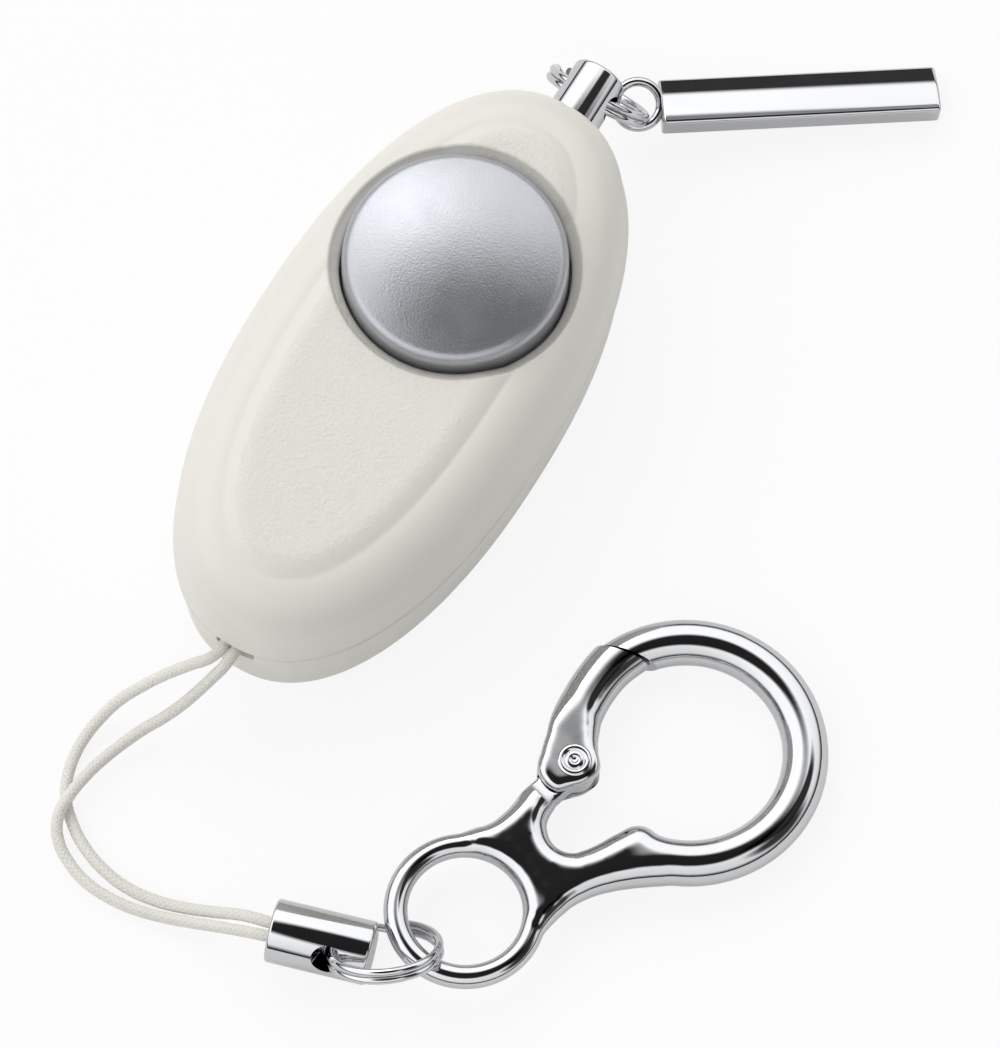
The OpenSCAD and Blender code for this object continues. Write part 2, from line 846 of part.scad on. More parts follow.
// Yoke between the eye and the large ring, with its keyhole throat
module yoke_outline() {
  difference() {
    polygon([
      [-7.2, -25.4], [-6.6, -22.6], [-5.7, -20], [-5.9, -17.6], [-6.6, -15.2], [-3.3, -14], [-2.7, -15.4],
      [-1.6, -16.3], [0, -16.6], [1.2, -16.1], [2, -15], [2.5, -11.6], [2.9, -9.2], [3.6, -8.2], [4.9, -8],
      [8.6, -8.2], [9.6, -10.4], [8.1, -12.7], [6.8, -15.2], [5.9, -18.2], [6.2, -21.8], [7.2, -25.4]
    ]);
    translate([0, -eye_reach])
      circle(eye_hole_r);
  }
}

module clip_body() {
  start_a = -63;
  stop_a = 186;
  color(chrome)
    in_clip()
      difference() {
        union() {
          difference() {
            rotate([0, 0, start_a])
              rotate_extrude(angle = stop_a - start_a)
                translate([clip_ring_r, 0])
                  circle(clip_wire_r, $fn = 32);
            translate([0, 0, -clip_wire_d])
              linear_extrude(2 * clip_wire_d)
                difference() {
                  translate([-18, -8])
                    square([12, 14]);
                  beyond_nose(nose_gap / 2);
                }
          }
          translate([0, -eye_reach, 0])
            rotate_extrude()
              translate([eye_r, 0])
                circle(eye_wire_r, $fn = 32);
          slab(yoke_t)
            difference() {
              yoke_outline();
              translate(rivet_place)
                circle(gate_sweep_r);
            }
          slab(lug_t) {
            translate(rivet_place)
              circle(hub_r);
            polygon([[-6.9, -10.6], [-6.3, -15.6], [-3.4, -14.6], [-3.6, -9.4]]);
          }
        }
        translate([rivet_place[0], rivet_place[1], -clip_wire_d])
          cylinder(r = rivet_r + pin_gap, h = 2 * clip_wire_d);
        translate([rivet_place[0], rivet_place[1], -lug_t / 2 + 0.3])
          cylinder(r = spring_pocket_r, h = clip_wire_d);
      }
}

// Outline of the gate from its rounded foot to its slanted tip
module gate_outline() {
  difference() {
    polygon([
      [-7.2, -13.7], [-8.9, -11.2], [-11.4, -8.1], [-13.1, -4.6], [-14.3, -1], [-14.6, 1],
      [-9, 4], [-9.2, 2], [-9.4, -0.4], [-8.6, -3], [-7.4, -5.2], [-5.4, -7], [-3.4, -8.1], [-2.9, -9],
      [-3.5, -12.2], [-4.4, -13.7]
    ]);
    beyond_nose(-nose_gap / 2);
  }
}

module clip_gate() {
  gate_t = clip_wire_d - 0.1;
  color(chrome)
    in_clip()
      difference() {
        slab(gate_t)
          gate_outline();
        translate([rivet_place[0], rivet_place[1], -gate_t / 2 + cheek_t])
          cylinder(r = channel_r, h = gate_t - 2 * cheek_t);
        translate([rivet_place[0], rivet_place[1], -clip_wire_d])
          cylinder(r = rivet_r + pin_gap, h = 2 * clip_wire_d);
        translate([rivet_place[0], rivet_place[1], -clip_wire_d])
          cylinder(r = rivet_head_d / 2 + run_gap, h = clip_wire_d - gate_t / 2 + rivet_head_t);
      }
}

module gate_rivet() {
  gate_t = clip_wire_d - 0.1;
  head_r = rivet_head_d / 2;
  color(chrome)
    in_clip()
      translate([rivet_place[0], rivet_place[1], 0])
        union() {
          translate([0, 0, -gate_t / 2])
            cylinder(r = rivet_r, h = gate_t + pin_gap);
          translate([0, 0, -gate_t / 2])
            cylinder(r = head_r, h = rivet_head_t - pin_gap);
          translate([0, 0, gate_t / 2 + pin_gap])
            cylinder(r = head_r, h = rivet_head_t);
        }
}

module gate_spring() {
  color(chrome)
    in_clip()
      tube_along(gate_spring_path, gate_spring_wire / 2, 6);
}

front_shell();
rear_shell();
button_cap();
button_spring();
circuit_board();
tact_switch();
switch_plunger();
driver_chip();
boost_coil();
drive_transistor();
coin_cells();
cell_base_contact();
cell_top_contact();
sounder_disc();
sounder_ceramic();
pin_contacts();
case_screws();
cord_anchor_pin();
pull_pin_head();
pull_pin_shank();
pull_ring();
pull_tag();
lanyard_cord_bend();
lanyard_cord_a();
lanyard_cord_b();
cord_ferrule();
lanyard_ring();
clip_body();
clip_gate();
gate_rivet();
gate_spring();
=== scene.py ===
# %% [markdown]
# # A personal safety alarm, dressed in Blender
# The CAD model fixes every size and joint. This lesson loads it as a frame, then models the surfaces that
# show: ivory shells, a silver button, chrome fittings and a braided cord. All modelling is done in
# millimetres and scaled to metres at the very end of each piece.

# %% Load the frame
import itertools
import math

import bmesh
import bpy
from mathutils import Matrix, Vector
from mathutils.geometry import interpolate_bezier, intersect_point_line


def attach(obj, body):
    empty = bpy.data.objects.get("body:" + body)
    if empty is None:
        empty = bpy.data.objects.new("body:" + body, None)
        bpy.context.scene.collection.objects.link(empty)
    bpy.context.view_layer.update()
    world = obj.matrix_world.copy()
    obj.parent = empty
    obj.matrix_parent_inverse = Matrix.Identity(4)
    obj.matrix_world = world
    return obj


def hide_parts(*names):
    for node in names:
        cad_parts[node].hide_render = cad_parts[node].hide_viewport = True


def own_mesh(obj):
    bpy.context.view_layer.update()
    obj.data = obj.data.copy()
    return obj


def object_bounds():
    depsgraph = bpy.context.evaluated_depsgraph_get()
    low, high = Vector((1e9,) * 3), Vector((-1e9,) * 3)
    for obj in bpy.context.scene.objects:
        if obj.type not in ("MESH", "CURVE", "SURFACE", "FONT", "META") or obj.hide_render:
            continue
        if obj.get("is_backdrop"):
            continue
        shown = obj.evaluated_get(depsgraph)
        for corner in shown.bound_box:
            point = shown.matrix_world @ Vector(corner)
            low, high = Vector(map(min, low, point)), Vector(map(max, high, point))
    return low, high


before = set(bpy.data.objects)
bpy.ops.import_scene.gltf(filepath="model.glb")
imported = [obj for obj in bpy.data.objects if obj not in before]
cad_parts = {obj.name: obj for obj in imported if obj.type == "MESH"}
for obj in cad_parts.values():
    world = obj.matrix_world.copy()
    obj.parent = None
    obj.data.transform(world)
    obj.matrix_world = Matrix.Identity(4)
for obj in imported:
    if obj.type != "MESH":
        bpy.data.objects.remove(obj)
cad_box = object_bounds()
MM = 0.001

# %% [markdown]
# ## Camera
# The photograph looks down on the alarm from a long way off, turned a little to the right. A long lens at
# one metre gives the same weak perspective, and ten picture points to the millimetre on the table.

# %% Camera
def placed(name, data):
    """An object of the scene, at the origin."""
    thing = bpy.data.objects.new(name, data)
    bpy.context.scene.collection.objects.link(thing)
    return thing


def look_along(thing, way):
    """Turn a camera or a lamp to a direction."""
    thing.rotation_mode = "QUATERNION"
    thing.rotation_quaternion = way.to_track_quat("-Z", "Y")


turn, rise = math.radians(31), math.radians(69.5)
back = Vector((math.sin(turn) * math.cos(rise), -math.cos(turn) * math.cos(rise), math.sin(rise)))
look_at = Vector((14.0, -4.43, 0.0)) * MM
camera = placed("camera", bpy.data.cameras.new("camera"))
camera.data.lens = 343.5
camera.data.sensor_width = 36
camera.data.clip_start, camera.data.clip_end = 0.05, 20
camera.location = look_at + back
look_along(camera, -back)
bpy.context.scene.camera = camera
print("camera at", [round(x, 3) for x in camera.location])

# %% [markdown]
# ## Shared shader effects
# Three effects turn up in several finishes: a fine moulded or sprayed grain, a slow drift of tone, and
# faint handling marks that make a polish a little uneven. Each is a node group with its own inputs, so
# every finish sets its own size and strength.

# %% Node helpers
def wire(tree, *links):
    """Link sockets, each given as node, output, node, input."""
    for start, out, end, into in links:
        tree.links.new(start.outputs[out], end.inputs[into])


def maths(tree, operation, *values):
    """The output of a Math node that works on sockets and numbers."""
    node = tree.nodes.new("ShaderNodeMath")
    node.operation = operation
    for socket, value in zip(node.inputs, values):
        if isinstance(value, float):
            socket.default_value = value
        else:
            tree.links.new(value, socket)
    return node.outputs[0]


def effect_group(name, inputs, outputs):
    """An empty shader node group with named sockets, and its two end nodes."""
    group = bpy.data.node_groups.new(name, "ShaderNodeTree")
    for label, kind, value in inputs:
        socket = group.interface.new_socket(label, in_out="INPUT", socket_type="NodeSocket" + kind)
        socket.default_value = value
    for label, kind in outputs:
        group.interface.new_socket(label, in_out="OUTPUT", socket_type="NodeSocket" + kind)
    return group, group.nodes.new("NodeGroupInput"), group.nodes.new("NodeGroupOutput")


def object_noise(group, start, detail):
    """A noise on Object coordinates, at the scale that the group is given."""
    where = group.nodes.new("ShaderNodeTexCoord")
    noise = group.nodes.new("ShaderNodeTexNoise")
    noise.inputs["Detail"].default_value = detail
    wire(group, (where, "Object", noise, "Vector"), (start, "Scale", noise, "Scale"))
    return noise


# %% Fine grain
grain, g_in, g_out = effect_group("fine_grain", [("Scale", "Float", 2500.0)], [("Height", "Float")])
g_noise = object_noise(grain, g_in, 3.0)
g_noise.inputs["Roughness"].default_value = 0.6
wire(grain, (g_noise, "Fac", g_out, "Height"))
print("group", grain.name)

# %% Tone drift
drift, d_in, d_out = effect_group(
    "tone_drift",
    [("Scale", "Float", 60.0), ("Light", "Color", (1, 1, 1, 1)), ("Dark", "Color", (0.9, 0.9, 0.9, 1))],
    [("Color", "Color")])
d_noise = object_noise(drift, d_in, 4.0)
d_mix = drift.nodes.new("ShaderNodeMix")
d_mix.data_type = "RGBA"
wire(
    drift, (d_noise, "Fac", d_mix, "Factor"), (d_in, "Light", d_mix, "A"), (d_in, "Dark", d_mix, "B"),
    (d_mix, "Result", d_out, "Color"))
print("group", drift.name)

# %% Handling marks
marks, m_in, m_out = effect_group(
    "handling_marks", [("Scale", "Float", 300.0), ("Low", "Float", 0.05), ("High", "Float", 0.12)],
    [("Roughness", "Float")])
m_noise = object_noise(marks, m_in, 6.0)
m_range = marks.nodes.new("ShaderNodeMapRange")
m_range.inputs["From Min"].default_value = 0.3
m_range.inputs["From Max"].default_value = 0.7
wire(
    marks, (m_noise, "Fac", m_range, "Value"), (m_in, "Low", m_range, "To Min"),
    (m_in, "High", m_range, "To Max"), (m_range, "Result", m_out, "Roughness"))
print("group", marks.name)

# %% [markdown]
# ## Finishes
# Most finishes are one Principled shader fed by the three groups. The helper below wires them: two near
# tones for the colour, a roughness range, and a grain that lifts the surface by a thousandth to a tenth of
# a millimetre.

# %% Finish helper
def new_material(name):
    """A new material that has nodes, and its node tree."""
    made = bpy.data.materials.new(name)
    made.use_nodes = True
    return made, made.node_tree


def finish(name, light, dark, rough, grit, metal=0.0):
    """A Principled material: two tones, a roughness range, and a grain's scale and depth in metres."""
    made, tree = new_material(name)
    shader = tree.nodes["Principled BSDF"]
    shader.inputs["Metallic"].default_value = metal
    tone, wear, texture = (tree.nodes.new("ShaderNodeGroup") for _ in range(3))
    tone.node_tree, wear.node_tree, texture.node_tree = drift, marks, grain
    tone.inputs["Light"].default_value = (*light, 1)
    tone.inputs["Dark"].default_value = (*dark, 1)
    wear.inputs["Low"].default_value, wear.inputs["High"].default_value = rough
    bump = tree.nodes.new("ShaderNodeBump")
    bump.inputs["Strength"].default_value = 1.0
    texture.inputs["Scale"].default_value, bump.inputs["Distance"].default_value = grit
    wire(
        tree, (tone, "Color", shader, "Base Color"), (wear, "Roughness", shader, "Roughness"),
        (texture, "Height", bump, "Height"), (bump, "Normal", shader, "Normal"))
    return made


# %% Ivory, silver, chrome and the inner finishes
ivory_smooth = finish(
    "ivory_smooth", (0.775, 0.757, 0.70), (0.75, 0.732, 0.675), rough=(0.34, 0.42), grit=(2600, 0.000012))
ivory_textured = finish(
    "ivory_textured", (0.765, 0.747, 0.69), (0.74, 0.722, 0.665), rough=(0.46, 0.54), grit=(2600, 0.00011))
silver_paint = finish(
    "silver_paint", (0.47, 0.48, 0.51), (0.43, 0.44, 0.47), rough=(0.30, 0.36), grit=(4800, 0.00003),
    metal=0.85)
chrome_plate = finish(
    "chrome_plate", (0.62, 0.625, 0.64), (0.58, 0.585, 0.60), rough=(0.03, 0.07), grit=(900, 0.000001),
    metal=1.0)
bright_steel = finish(
    "bright_steel", (0.58, 0.58, 0.60), (0.50, 0.50, 0.52), rough=(0.22, 0.34), grit=(1800, 0.000006),
    metal=1.0)
black_moulding = finish(
    "black_moulding", (0.03, 0.03, 0.032), (0.02, 0.02, 0.022), rough=(0.35, 0.5), grit=(2200, 0.00001))
white_moulding = finish(
    "white_moulding", (0.80, 0.79, 0.75), (0.76, 0.75, 0.71), rough=(0.4, 0.5), grit=(2200, 0.00001))
board_mask = finish(
    "board_mask", (0.03, 0.16, 0.08), (0.02, 0.11, 0.06), rough=(0.3, 0.42), grit=(1400, 0.00001))
sheet_brass = finish(
    "sheet_brass", (0.72, 0.55, 0.25), (0.64, 0.47, 0.2), rough=(0.2, 0.32), grit=(1500, 0.000004), metal=1.0)
copper_winding = finish(
    "copper_winding", (0.62, 0.28, 0.13), (0.5, 0.2, 0.09), rough=(0.25, 0.4), grit=(1200, 0.00002),
    metal=1.0)
print("finishes:", len(bpy.data.materials))

# %% [markdown]
# ## Braided cord finish
# A strap cord is woven from fine threads that cross each other at an angle. Two sets of stripes, leaning
# left and right round the tube, follow the cord's own UV map, so they bend with it. Where they cross, the
# bump makes small lozenges. The same height also paints the colour darker in the grooves between the
# threads, as painted shade.

# %% Braid
THREADS_ALONG, THREADS_ROUND = 110, 6
cord_braid, c_tree = new_material("cord_braid")
c_shader = c_tree.nodes["Principled BSDF"]
c_shader.inputs["Roughness"].default_value = 0.7
c_shader.inputs["Sheen Weight"].default_value = 0.25
c_uv, c_split, c_groove_shade, c_tone, c_bump = (
    c_tree.nodes.new("ShaderNode" + kind) for kind in ("UVMap", "SeparateXYZ", "MapRange", "Mix", "Bump"))
wire(c_tree, (c_uv, "UV", c_split, "Vector"))
stripes = []
for lean in (1.0, -1.0):
    along = maths(c_tree, "MULTIPLY", c_split.outputs["X"], 2 * math.pi * THREADS_ALONG)
    around = maths(c_tree, "MULTIPLY", c_split.outputs["Y"], 2 * math.pi * THREADS_ROUND * lean)
    stripes.append(maths(c_tree, "SINE", maths(c_tree, "ADD", along, around)))
c_cross = maths(c_tree, "MAXIMUM", *stripes)
# painted shade: the colour is darker where the weave is low, in the grooves between the threads
c_groove_shade.inputs["From Min"].default_value = -0.6
c_tone.data_type = "RGBA"
c_tone.inputs["A"].default_value = (0.74, 0.722, 0.665, 1)
c_tone.inputs["B"].default_value = (0.80, 0.785, 0.735, 1)
c_bump.inputs["Strength"].default_value = 0.5
c_bump.inputs["Distance"].default_value = 0.00005
c_tree.links.new(c_cross, c_groove_shade.inputs["Value"])
c_tree.links.new(c_cross, c_bump.inputs["Height"])
wire(
    c_tree, (c_groove_shade, "Result", c_tone, "Factor"), (c_tone, "Result", c_shader, "Base Color"),
    (c_bump, "Normal", c_shader, "Normal"))
print("braid:", len(c_tree.nodes), "nodes")

# %% [markdown]
# ## Helpers that finish a piece
# A piece is modelled in millimetres in a bmesh. `settle` scales it to metres and makes it an object at the
# origin. `dress` gives it its finish, shades it smooth except at real edges, and ties it to the CAD body
# that it rides on.

# %% Settle a bmesh
SEAM_MERGE = 0.0004


def baked(bm, name):
    """A mesh made from a bmesh, which is freed."""
    mesh = bpy.data.meshes.new(name)
    bm.to_mesh(mesh)
    bm.free()
    return mesh


def soften(piece, sharp):
    """Smooth shading, with edges over an angle kept sharp."""
    for face in piece.data.polygons:
        face.use_smooth = True
    piece.data.set_sharp_from_angle(angle=math.radians(sharp))


def dress(piece, materials, body, slot, stands_for, sharp):
    """Finish and shade a piece, and tie it to the CAD body that it rides on."""
    for material in materials:
        piece.data.materials.append(material)
    soften(piece, sharp)
    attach(piece, body)
    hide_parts(*stands_for)
    print(piece.name, len(piece.data.polygons), "faces on", body)
    return piece


def settle(bm, name, *look, sharp):
    """Make a finished bmesh a piece, dressed with the rest of the values."""
    bmesh.ops.remove_doubles(bm, verts=bm.verts, dist=SEAM_MERGE)
    bmesh.ops.recalc_face_normals(bm, faces=bm.faces)
    bmesh.ops.scale(bm, vec=(MM, MM, MM), verts=bm.verts)
    return dress(placed(name, baked(bm, name)), *look, sharp)


# %% Cut and keep
SLIVER = 0.000004


def shape_of(build):
    """A throw-away object from a bmesh in millimetres, for cutting with."""
    bm = bmesh.new()
    build(bm)
    bmesh.ops.recalc_face_normals(bm, faces=bm.faces)
    bmesh.ops.scale(bm, vec=(MM, MM, MM), verts=bm.verts)
    return placed("cutter", baked(bm, "cutter"))


def keep_modified(piece):
    """Replace a piece's mesh by what its modifiers make of it."""
    graph = bpy.context.evaluated_depsgraph_get()
    made = bpy.data.meshes.new_from_object(piece.evaluated_get(graph))
    piece.modifiers.clear()
    made.name = piece.name
    piece.data = made


def cut_away(piece, builds, sharp=32.0):
    """Subtract shapes from a piece, then dissolve the slivers that they leave."""
    cutters = [shape_of(build) for build in builds]
    for cutter in cutters:
        cut = piece.modifiers.new("cut", "BOOLEAN")
        cut.operation = "DIFFERENCE"
        cut.solver = "EXACT"
        cut.object = cutter
    keep_modified(piece)
    for cutter in cutters:
        bpy.data.objects.remove(cutter)
    bm = bmesh.new()
    bm.from_mesh(piece.data)
    bmesh.ops.dissolve_degenerate(bm, dist=SLIVER, edges=bm.edges)
    for _ in range(2):
        bmesh.ops.dissolve_verts(bm, verts=[v for v in bm.verts if len(v.link_edges) == 2])
    bm.to_mesh(piece.data)
    bm.free()
    soften(piece, sharp)
    print(piece.name, "after cuts:", len(piece.data.polygons), "faces")


# %% Turns and simple forms
def about(axis, degrees):
    """A turn about a named axis."""
    return Matrix.Rotation(math.radians(degrees), 3, axis)


def turned(bm, matrix, place, verts=None):
    """Turn a bmesh, or some of its vertices, by a 3 x 3 matrix and move it to a place."""
    verts = verts or bm.verts
    bmesh.ops.rotate(bm, cent=(0, 0, 0), matrix=matrix, verts=verts)
    bmesh.ops.translate(bm, vec=place, verts=verts)


def spin(bm, geom, degrees, steps, climb=0.0, merge=False, centre=(0, 0, 0)):
    """Spin geometry about Z, rising by a climb in all, and give what lies at its end."""
    return bmesh.ops.spin(
        bm, geom=geom, cent=centre, axis=(0, 0, 1), dvec=(0, 0, climb / steps), angle=math.radians(degrees),
        steps=steps, use_merge=merge)["geom_last"]


def rod(bm, r, start, end, segments=64):
    """A capped cylinder between two points."""
    start, end = Vector(start), Vector(end)
    upright = (end - start).to_track_quat("Z", "Y").to_matrix().to_4x4()
    bmesh.ops.create_cone(
        bm, cap_ends=True, segments=segments, radius1=r, radius2=r, depth=(end - start).length,
        matrix=Matrix.Translation((start + end) / 2) @ upright)


def block(bm, size, place, turn_z=0.0):
    """A box of a size, at a place, turned about Z, and its edges."""
    made = bmesh.ops.create_cube(bm, size=1.0)["verts"]
    bmesh.ops.scale(bm, vec=size, verts=made)
    turned(bm, about("Z", turn_z), place, made)
    return {e for v in made for e in v.link_edges}


def wire_end(bm, segments, wire_r, place, turn_z=0.0, cap=True):
    """An upright circle, moved out and turned about Z, from which a wire can be spun."""
    made = bmesh.ops.create_circle(bm, segments=segments, radius=wire_r, cap_ends=cap)["verts"]
    turned(bm, about("X", 90), place, made)
    bmesh.ops.rotate(bm, cent=(0, 0, 0), matrix=about("Z", turn_z), verts=made)
    return made


def hoop(bm, centre, ring_r, wire_r, start=0.0, span=360.0, sides=40, step=2.5):
    """A round wire spun about a centre, from an angle in degrees."""
    made = wire_end(bm, sides, wire_r, (ring_r, 0, 0), start, cap=span < 360)
    bmesh.ops.translate(bm, vec=centre, verts=made)
    parts = list({f for v in made for f in v.link_faces})
    if not parts:
        parts = made + list({e for v in made for e in v.link_edges})
    spin(bm, parts, span, int(span / step), merge=span >= 360, centre=centre)


# %% [markdown]
# ## Lanyard cord
# Two limp strands leave the slot at the foot of the case, drop to the table, cross once and run side by
# side into the ferrule. A Bezier curve through the same points as the CAD route gives one smooth line. It
# is turned into a tube with a UV map, because the braid follows the cord.

# %% Cord helper
CORD_D, CORD_Z, CORD_STEPS = 1.2, 10.3, 8


def cord_tube(name, route, stands_for):
    """A mesh tube along a smooth line through the route, and the points of that line in metres."""
    curve = bpy.data.curves.new(name, "CURVE")
    curve.dimensions = "3D"
    spline = curve.splines.new("BEZIER")
    spline.bezier_points.add(len(route) - 1)
    for knot, place in zip(spline.bezier_points, route):
        knot.co = Vector(place) * MM
        knot.handle_left_type = knot.handle_right_type = "AUTO"
    curve.resolution_u = CORD_STEPS
    curve.bevel_depth = CORD_D * MM / 2
    curve.bevel_resolution = 4
    curve.use_fill_caps = True
    drawn = placed(name + "_line", curve)
    bpy.context.view_layer.update()
    line = []
    knots = drawn.data.splines[0].bezier_points
    for a, b in zip(knots, list(knots)[1:]):
        line += interpolate_bezier(a.co, a.handle_right, b.handle_left, b.co, CORD_STEPS + 1)[:-1]
    line.append(knots[-1].co.copy())
    graph = bpy.context.evaluated_depsgraph_get()
    mesh = bpy.data.meshes.new_from_object(drawn.evaluated_get(graph))
    mesh.name = name
    bpy.data.objects.remove(drawn)
    tube = placed(name, mesh)
    mesh.materials.clear()
    dress(tube, [cord_braid], "alarm_body", "cord_ivory", stands_for, sharp=180)
    length = sum((q - p).length for p, q in zip(line, line[1:]))
    print(name, "is", round(length * 1000, 1), "mm long, uv maps:", [u.name for u in mesh.uv_layers])
    return tube, line, length


# %% Two strands and the bend round the anchor pin
route_a = [
    (-0.8, -32.2, CORD_Z), (-0.8, -33.2, CORD_Z), (-1.3, -34.4, 10), (-2.7, -35.6, 9), (-4.7, -37.2, 7.1),
    (-6.6, -38.9, 4.8), (-8.2, -40.8, 2.8), (-9.1, -42.8, 1.4), (-9.5, -45, 0.8), (-9.4, -47.3, 0.65),
    (-8.8, -49.6, 0.65), (-7.6, -51.8, 0.65), (-5.8, -53.5, 0.65), (-3.4, -55, 0.65), (-0.6, -56, 0.65),
    (2.4, -56.4, 0.65), (5.4, -56.1, 0.7), (8.2, -55.4, 1), (11, -54.5, 1.7), (14, -53.5, 2.7),
    (17.1, -52.8, 3.2), (20, -51.95, 3.2)]
route_b = [
    (0.5, -32.2, CORD_Z), (0.5, -33.2, CORD_Z), (0.3, -34.4, 9.8), (-0.3, -35.6, 8.6), (-1.1, -36.9, 6.9),
    (-2.1, -38.4, 5), (-3.3, -40.1, 3.4), (-4.7, -42, 2.2), (-5.8, -44.2, 1.6), (-6.6, -46.5, 1.5),
    (-7.1, -49, 1.8), (-7.3, -51.5, 2.1), (-7.2, -53.8, 1.8), (-6.1, -55.7, 1.1), (-4, -57.1, 0.65),
    (-1.4, -58, 0.65), (1.4, -58.2, 0.65), (4.2, -57.9, 0.65), (7, -57.2, 0.8), (9.8, -56.4, 1.4),
    (12.6, -55.6, 2.3), (15, -54.9, 2.9), (17.5, -54.15, 3.2), (20.4, -53.25, 3.2)]
wrap_r, wrap_x, wrap_y = 2.45, 0.5, -26.6
route_bend = [(-0.8, -32.2, CORD_Z), (-0.8, -30.9, CORD_Z), (-1.4, -29.4, CORD_Z), (-1.9, -28, CORD_Z)]
for angle in range(180, -1, -30):
    a = math.radians(angle)
    route_bend.append((wrap_x + wrap_r * math.cos(a), wrap_y + wrap_r * math.sin(a), CORD_Z))
route_bend += [(2.6, -28.2, CORD_Z), (1.6, -29.8, CORD_Z), (0.5, -30.9, CORD_Z), (0.5, -32.2, CORD_Z)]
strand_a, line_a, length_a = cord_tube("strand_a", route_a, ["lanyard_cord_a"])
strand_b, line_b, length_b = cord_tube("strand_b", route_b, ["lanyard_cord_b"])
cord_tube("cord_bend", route_bend, ["lanyard_cord_bend"])

# %% [markdown]
# ## Case outline
# Seen from above, the case is a superellipse: a little fuller than an ellipse. Every contour of the shells
# is the same outline with both half axes drawn in by an inset. `inset_at` finds the inset of any point by
# halving an interval, and the section functions turn an inset into a height.

# %% Outline functions
HALF_L, HALF_W, POWER = 32.6, 16.1, 2.25
SEAM_Z, BORDER_Z, PANEL_RISE = 11.0, 20.2, 0.8
FRONT_DRAFT, SHOULDER_W, SHOULDER_H, SLOPE_W = 0.4, 5.0, 5.1, 2.5
LIP_IN, LIP_W, LIP_H, CEILING_Z, CEILING_W, CEILING_H = 1.8, 0.4, 3.3, 18.4, 4.0, 4.1


def outline_point(angle, inset):
    """A point of the outline, drawn in by an inset."""
    s, c = math.sin(angle), math.cos(angle)
    return Vector((
        (HALF_W - inset) * math.copysign(abs(s) ** (2 / POWER), s),
        (HALF_L - inset) * math.copysign(abs(c) ** (2 / POWER), c)))


def within(p, inset):
    """Whether a point lies inside the outline drawn in by an inset."""
    return (abs(p.x) / (HALF_W - inset)) ** POWER + (abs(p.y) / (HALF_L - inset)) ** POWER < 1


def halved(test, low, high, rounds):
    """The greatest value between two bounds that passes a test, found by halving."""
    for _ in range(rounds):
        mid = (low + high) / 2
        low, high = (mid, high) if test(mid) else (low, mid)
    return low


def inset_at(p):
    """How far a point lies inside the outline, counted along the half axes."""
    return halved(lambda inset: within(p, inset), -0.2, HALF_W - 0.01, 26)


def front_height(inset):
    """Height of the front face at an inset: wall, round shoulder, border, slope and panel."""
    if inset < FRONT_DRAFT:
        return SEAM_Z + (BORDER_Z - SHOULDER_H - SEAM_Z) * max(inset, 0) / FRONT_DRAFT
    over = inset - FRONT_DRAFT
    if over < SHOULDER_W:
        a = math.acos(1 - over / SHOULDER_W)
        return BORDER_Z - SHOULDER_H * (1 - math.sin(a))
    s = min((over - SHOULDER_W) / SLOPE_W, 1)
    return BORDER_Z + PANEL_RISE * s * (2 - s)


def ceiling_height(inset):
    """Height of the front shell's inner face at an inset."""
    over = inset - LIP_IN - LIP_W
    if over < 0:
        return SEAM_Z + LIP_H * max(inset - LIP_IN, 0) / LIP_W
    a = math.acos(1 - min(over / CEILING_W, 1))
    return CEILING_Z - CEILING_H * (1 - math.sin(a))


print("panel height", front_height(10), "seam height", front_height(0))

# %% [markdown]
# ## Front shell
# The button's round well bites through the panel, the slope and the shoulder. If the shell were lofted from
# its outline, the well would have to be cut and its rim rounded afterwards. So the rings run round the
# well: the first one is the seam edge, each next ring is extruded and moved in along rays to the well's
# centre, with its height read from the section. The last rings roll over the rim, down the well wall and
# back along the inside.

# %% Loft helper
def loft(bm, sides, stations, place, cap=False):
    """Extrude a ring from station to station; place(i, k) is where its vertex i goes at station k."""
    ring = bmesh.ops.create_circle(bm, segments=sides, radius=1.0, cap_ends=cap)["verts"]
    ring = sorted(ring, key=lambda v: math.atan2(v.co.x, v.co.y) % (2 * math.pi))
    home = {v: i for i, v in enumerate(ring)}
    first = edges = list(bm.edges)
    for k in range(stations):
        if k:
            made = bmesh.ops.extrude_edge_only(bm, edges=edges)["geom"]
            edges = [g for g in made if isinstance(g, bmesh.types.BMEdge)]
            fresh = [g for g in made if isinstance(g, bmesh.types.BMVert)]
            near = {v: [e.other_vert(v) for e in v.link_edges] for v in fresh}
            home = {v: next(home[w] for w in near[v] if w in home) for v in fresh}
        for v, i in home.items():
            v.co = place(i, k)
    return first, edges


# %% Front shell sections
WELL = Vector((0.0, 10.3))
WELL_R, FOOT_R, RIM_R, TUBE_R, BORE_R = 12.4, 11.55, 0.4, 13.6, 9.7
WELL_SLOPE, SHELF_TOP, SHELF_LOW = 0.8, 15.5, 14.0
SEAM_IN, SEAM_LOW, SEAM_HIGH = 0.4, 0.02, 0.26
RAYS, STEPS, CEILING_STEPS, RIM_STEPS, RIM_STEP = 288, 88, 12, 6, 11
EVEN_SPAN, BENT_SPAN = 4.0, 30.0
TEXTURE_Z, TEXTURE_IN = 20.3, FRONT_DRAFT + SHOULDER_W + 1.2


def reach(direction, inset):
    """Distance from the well's centre to the outline at an inset, along a direction."""
    return halved(lambda d: within(WELL + direction * d, inset), 0.0, 60.0, 30)


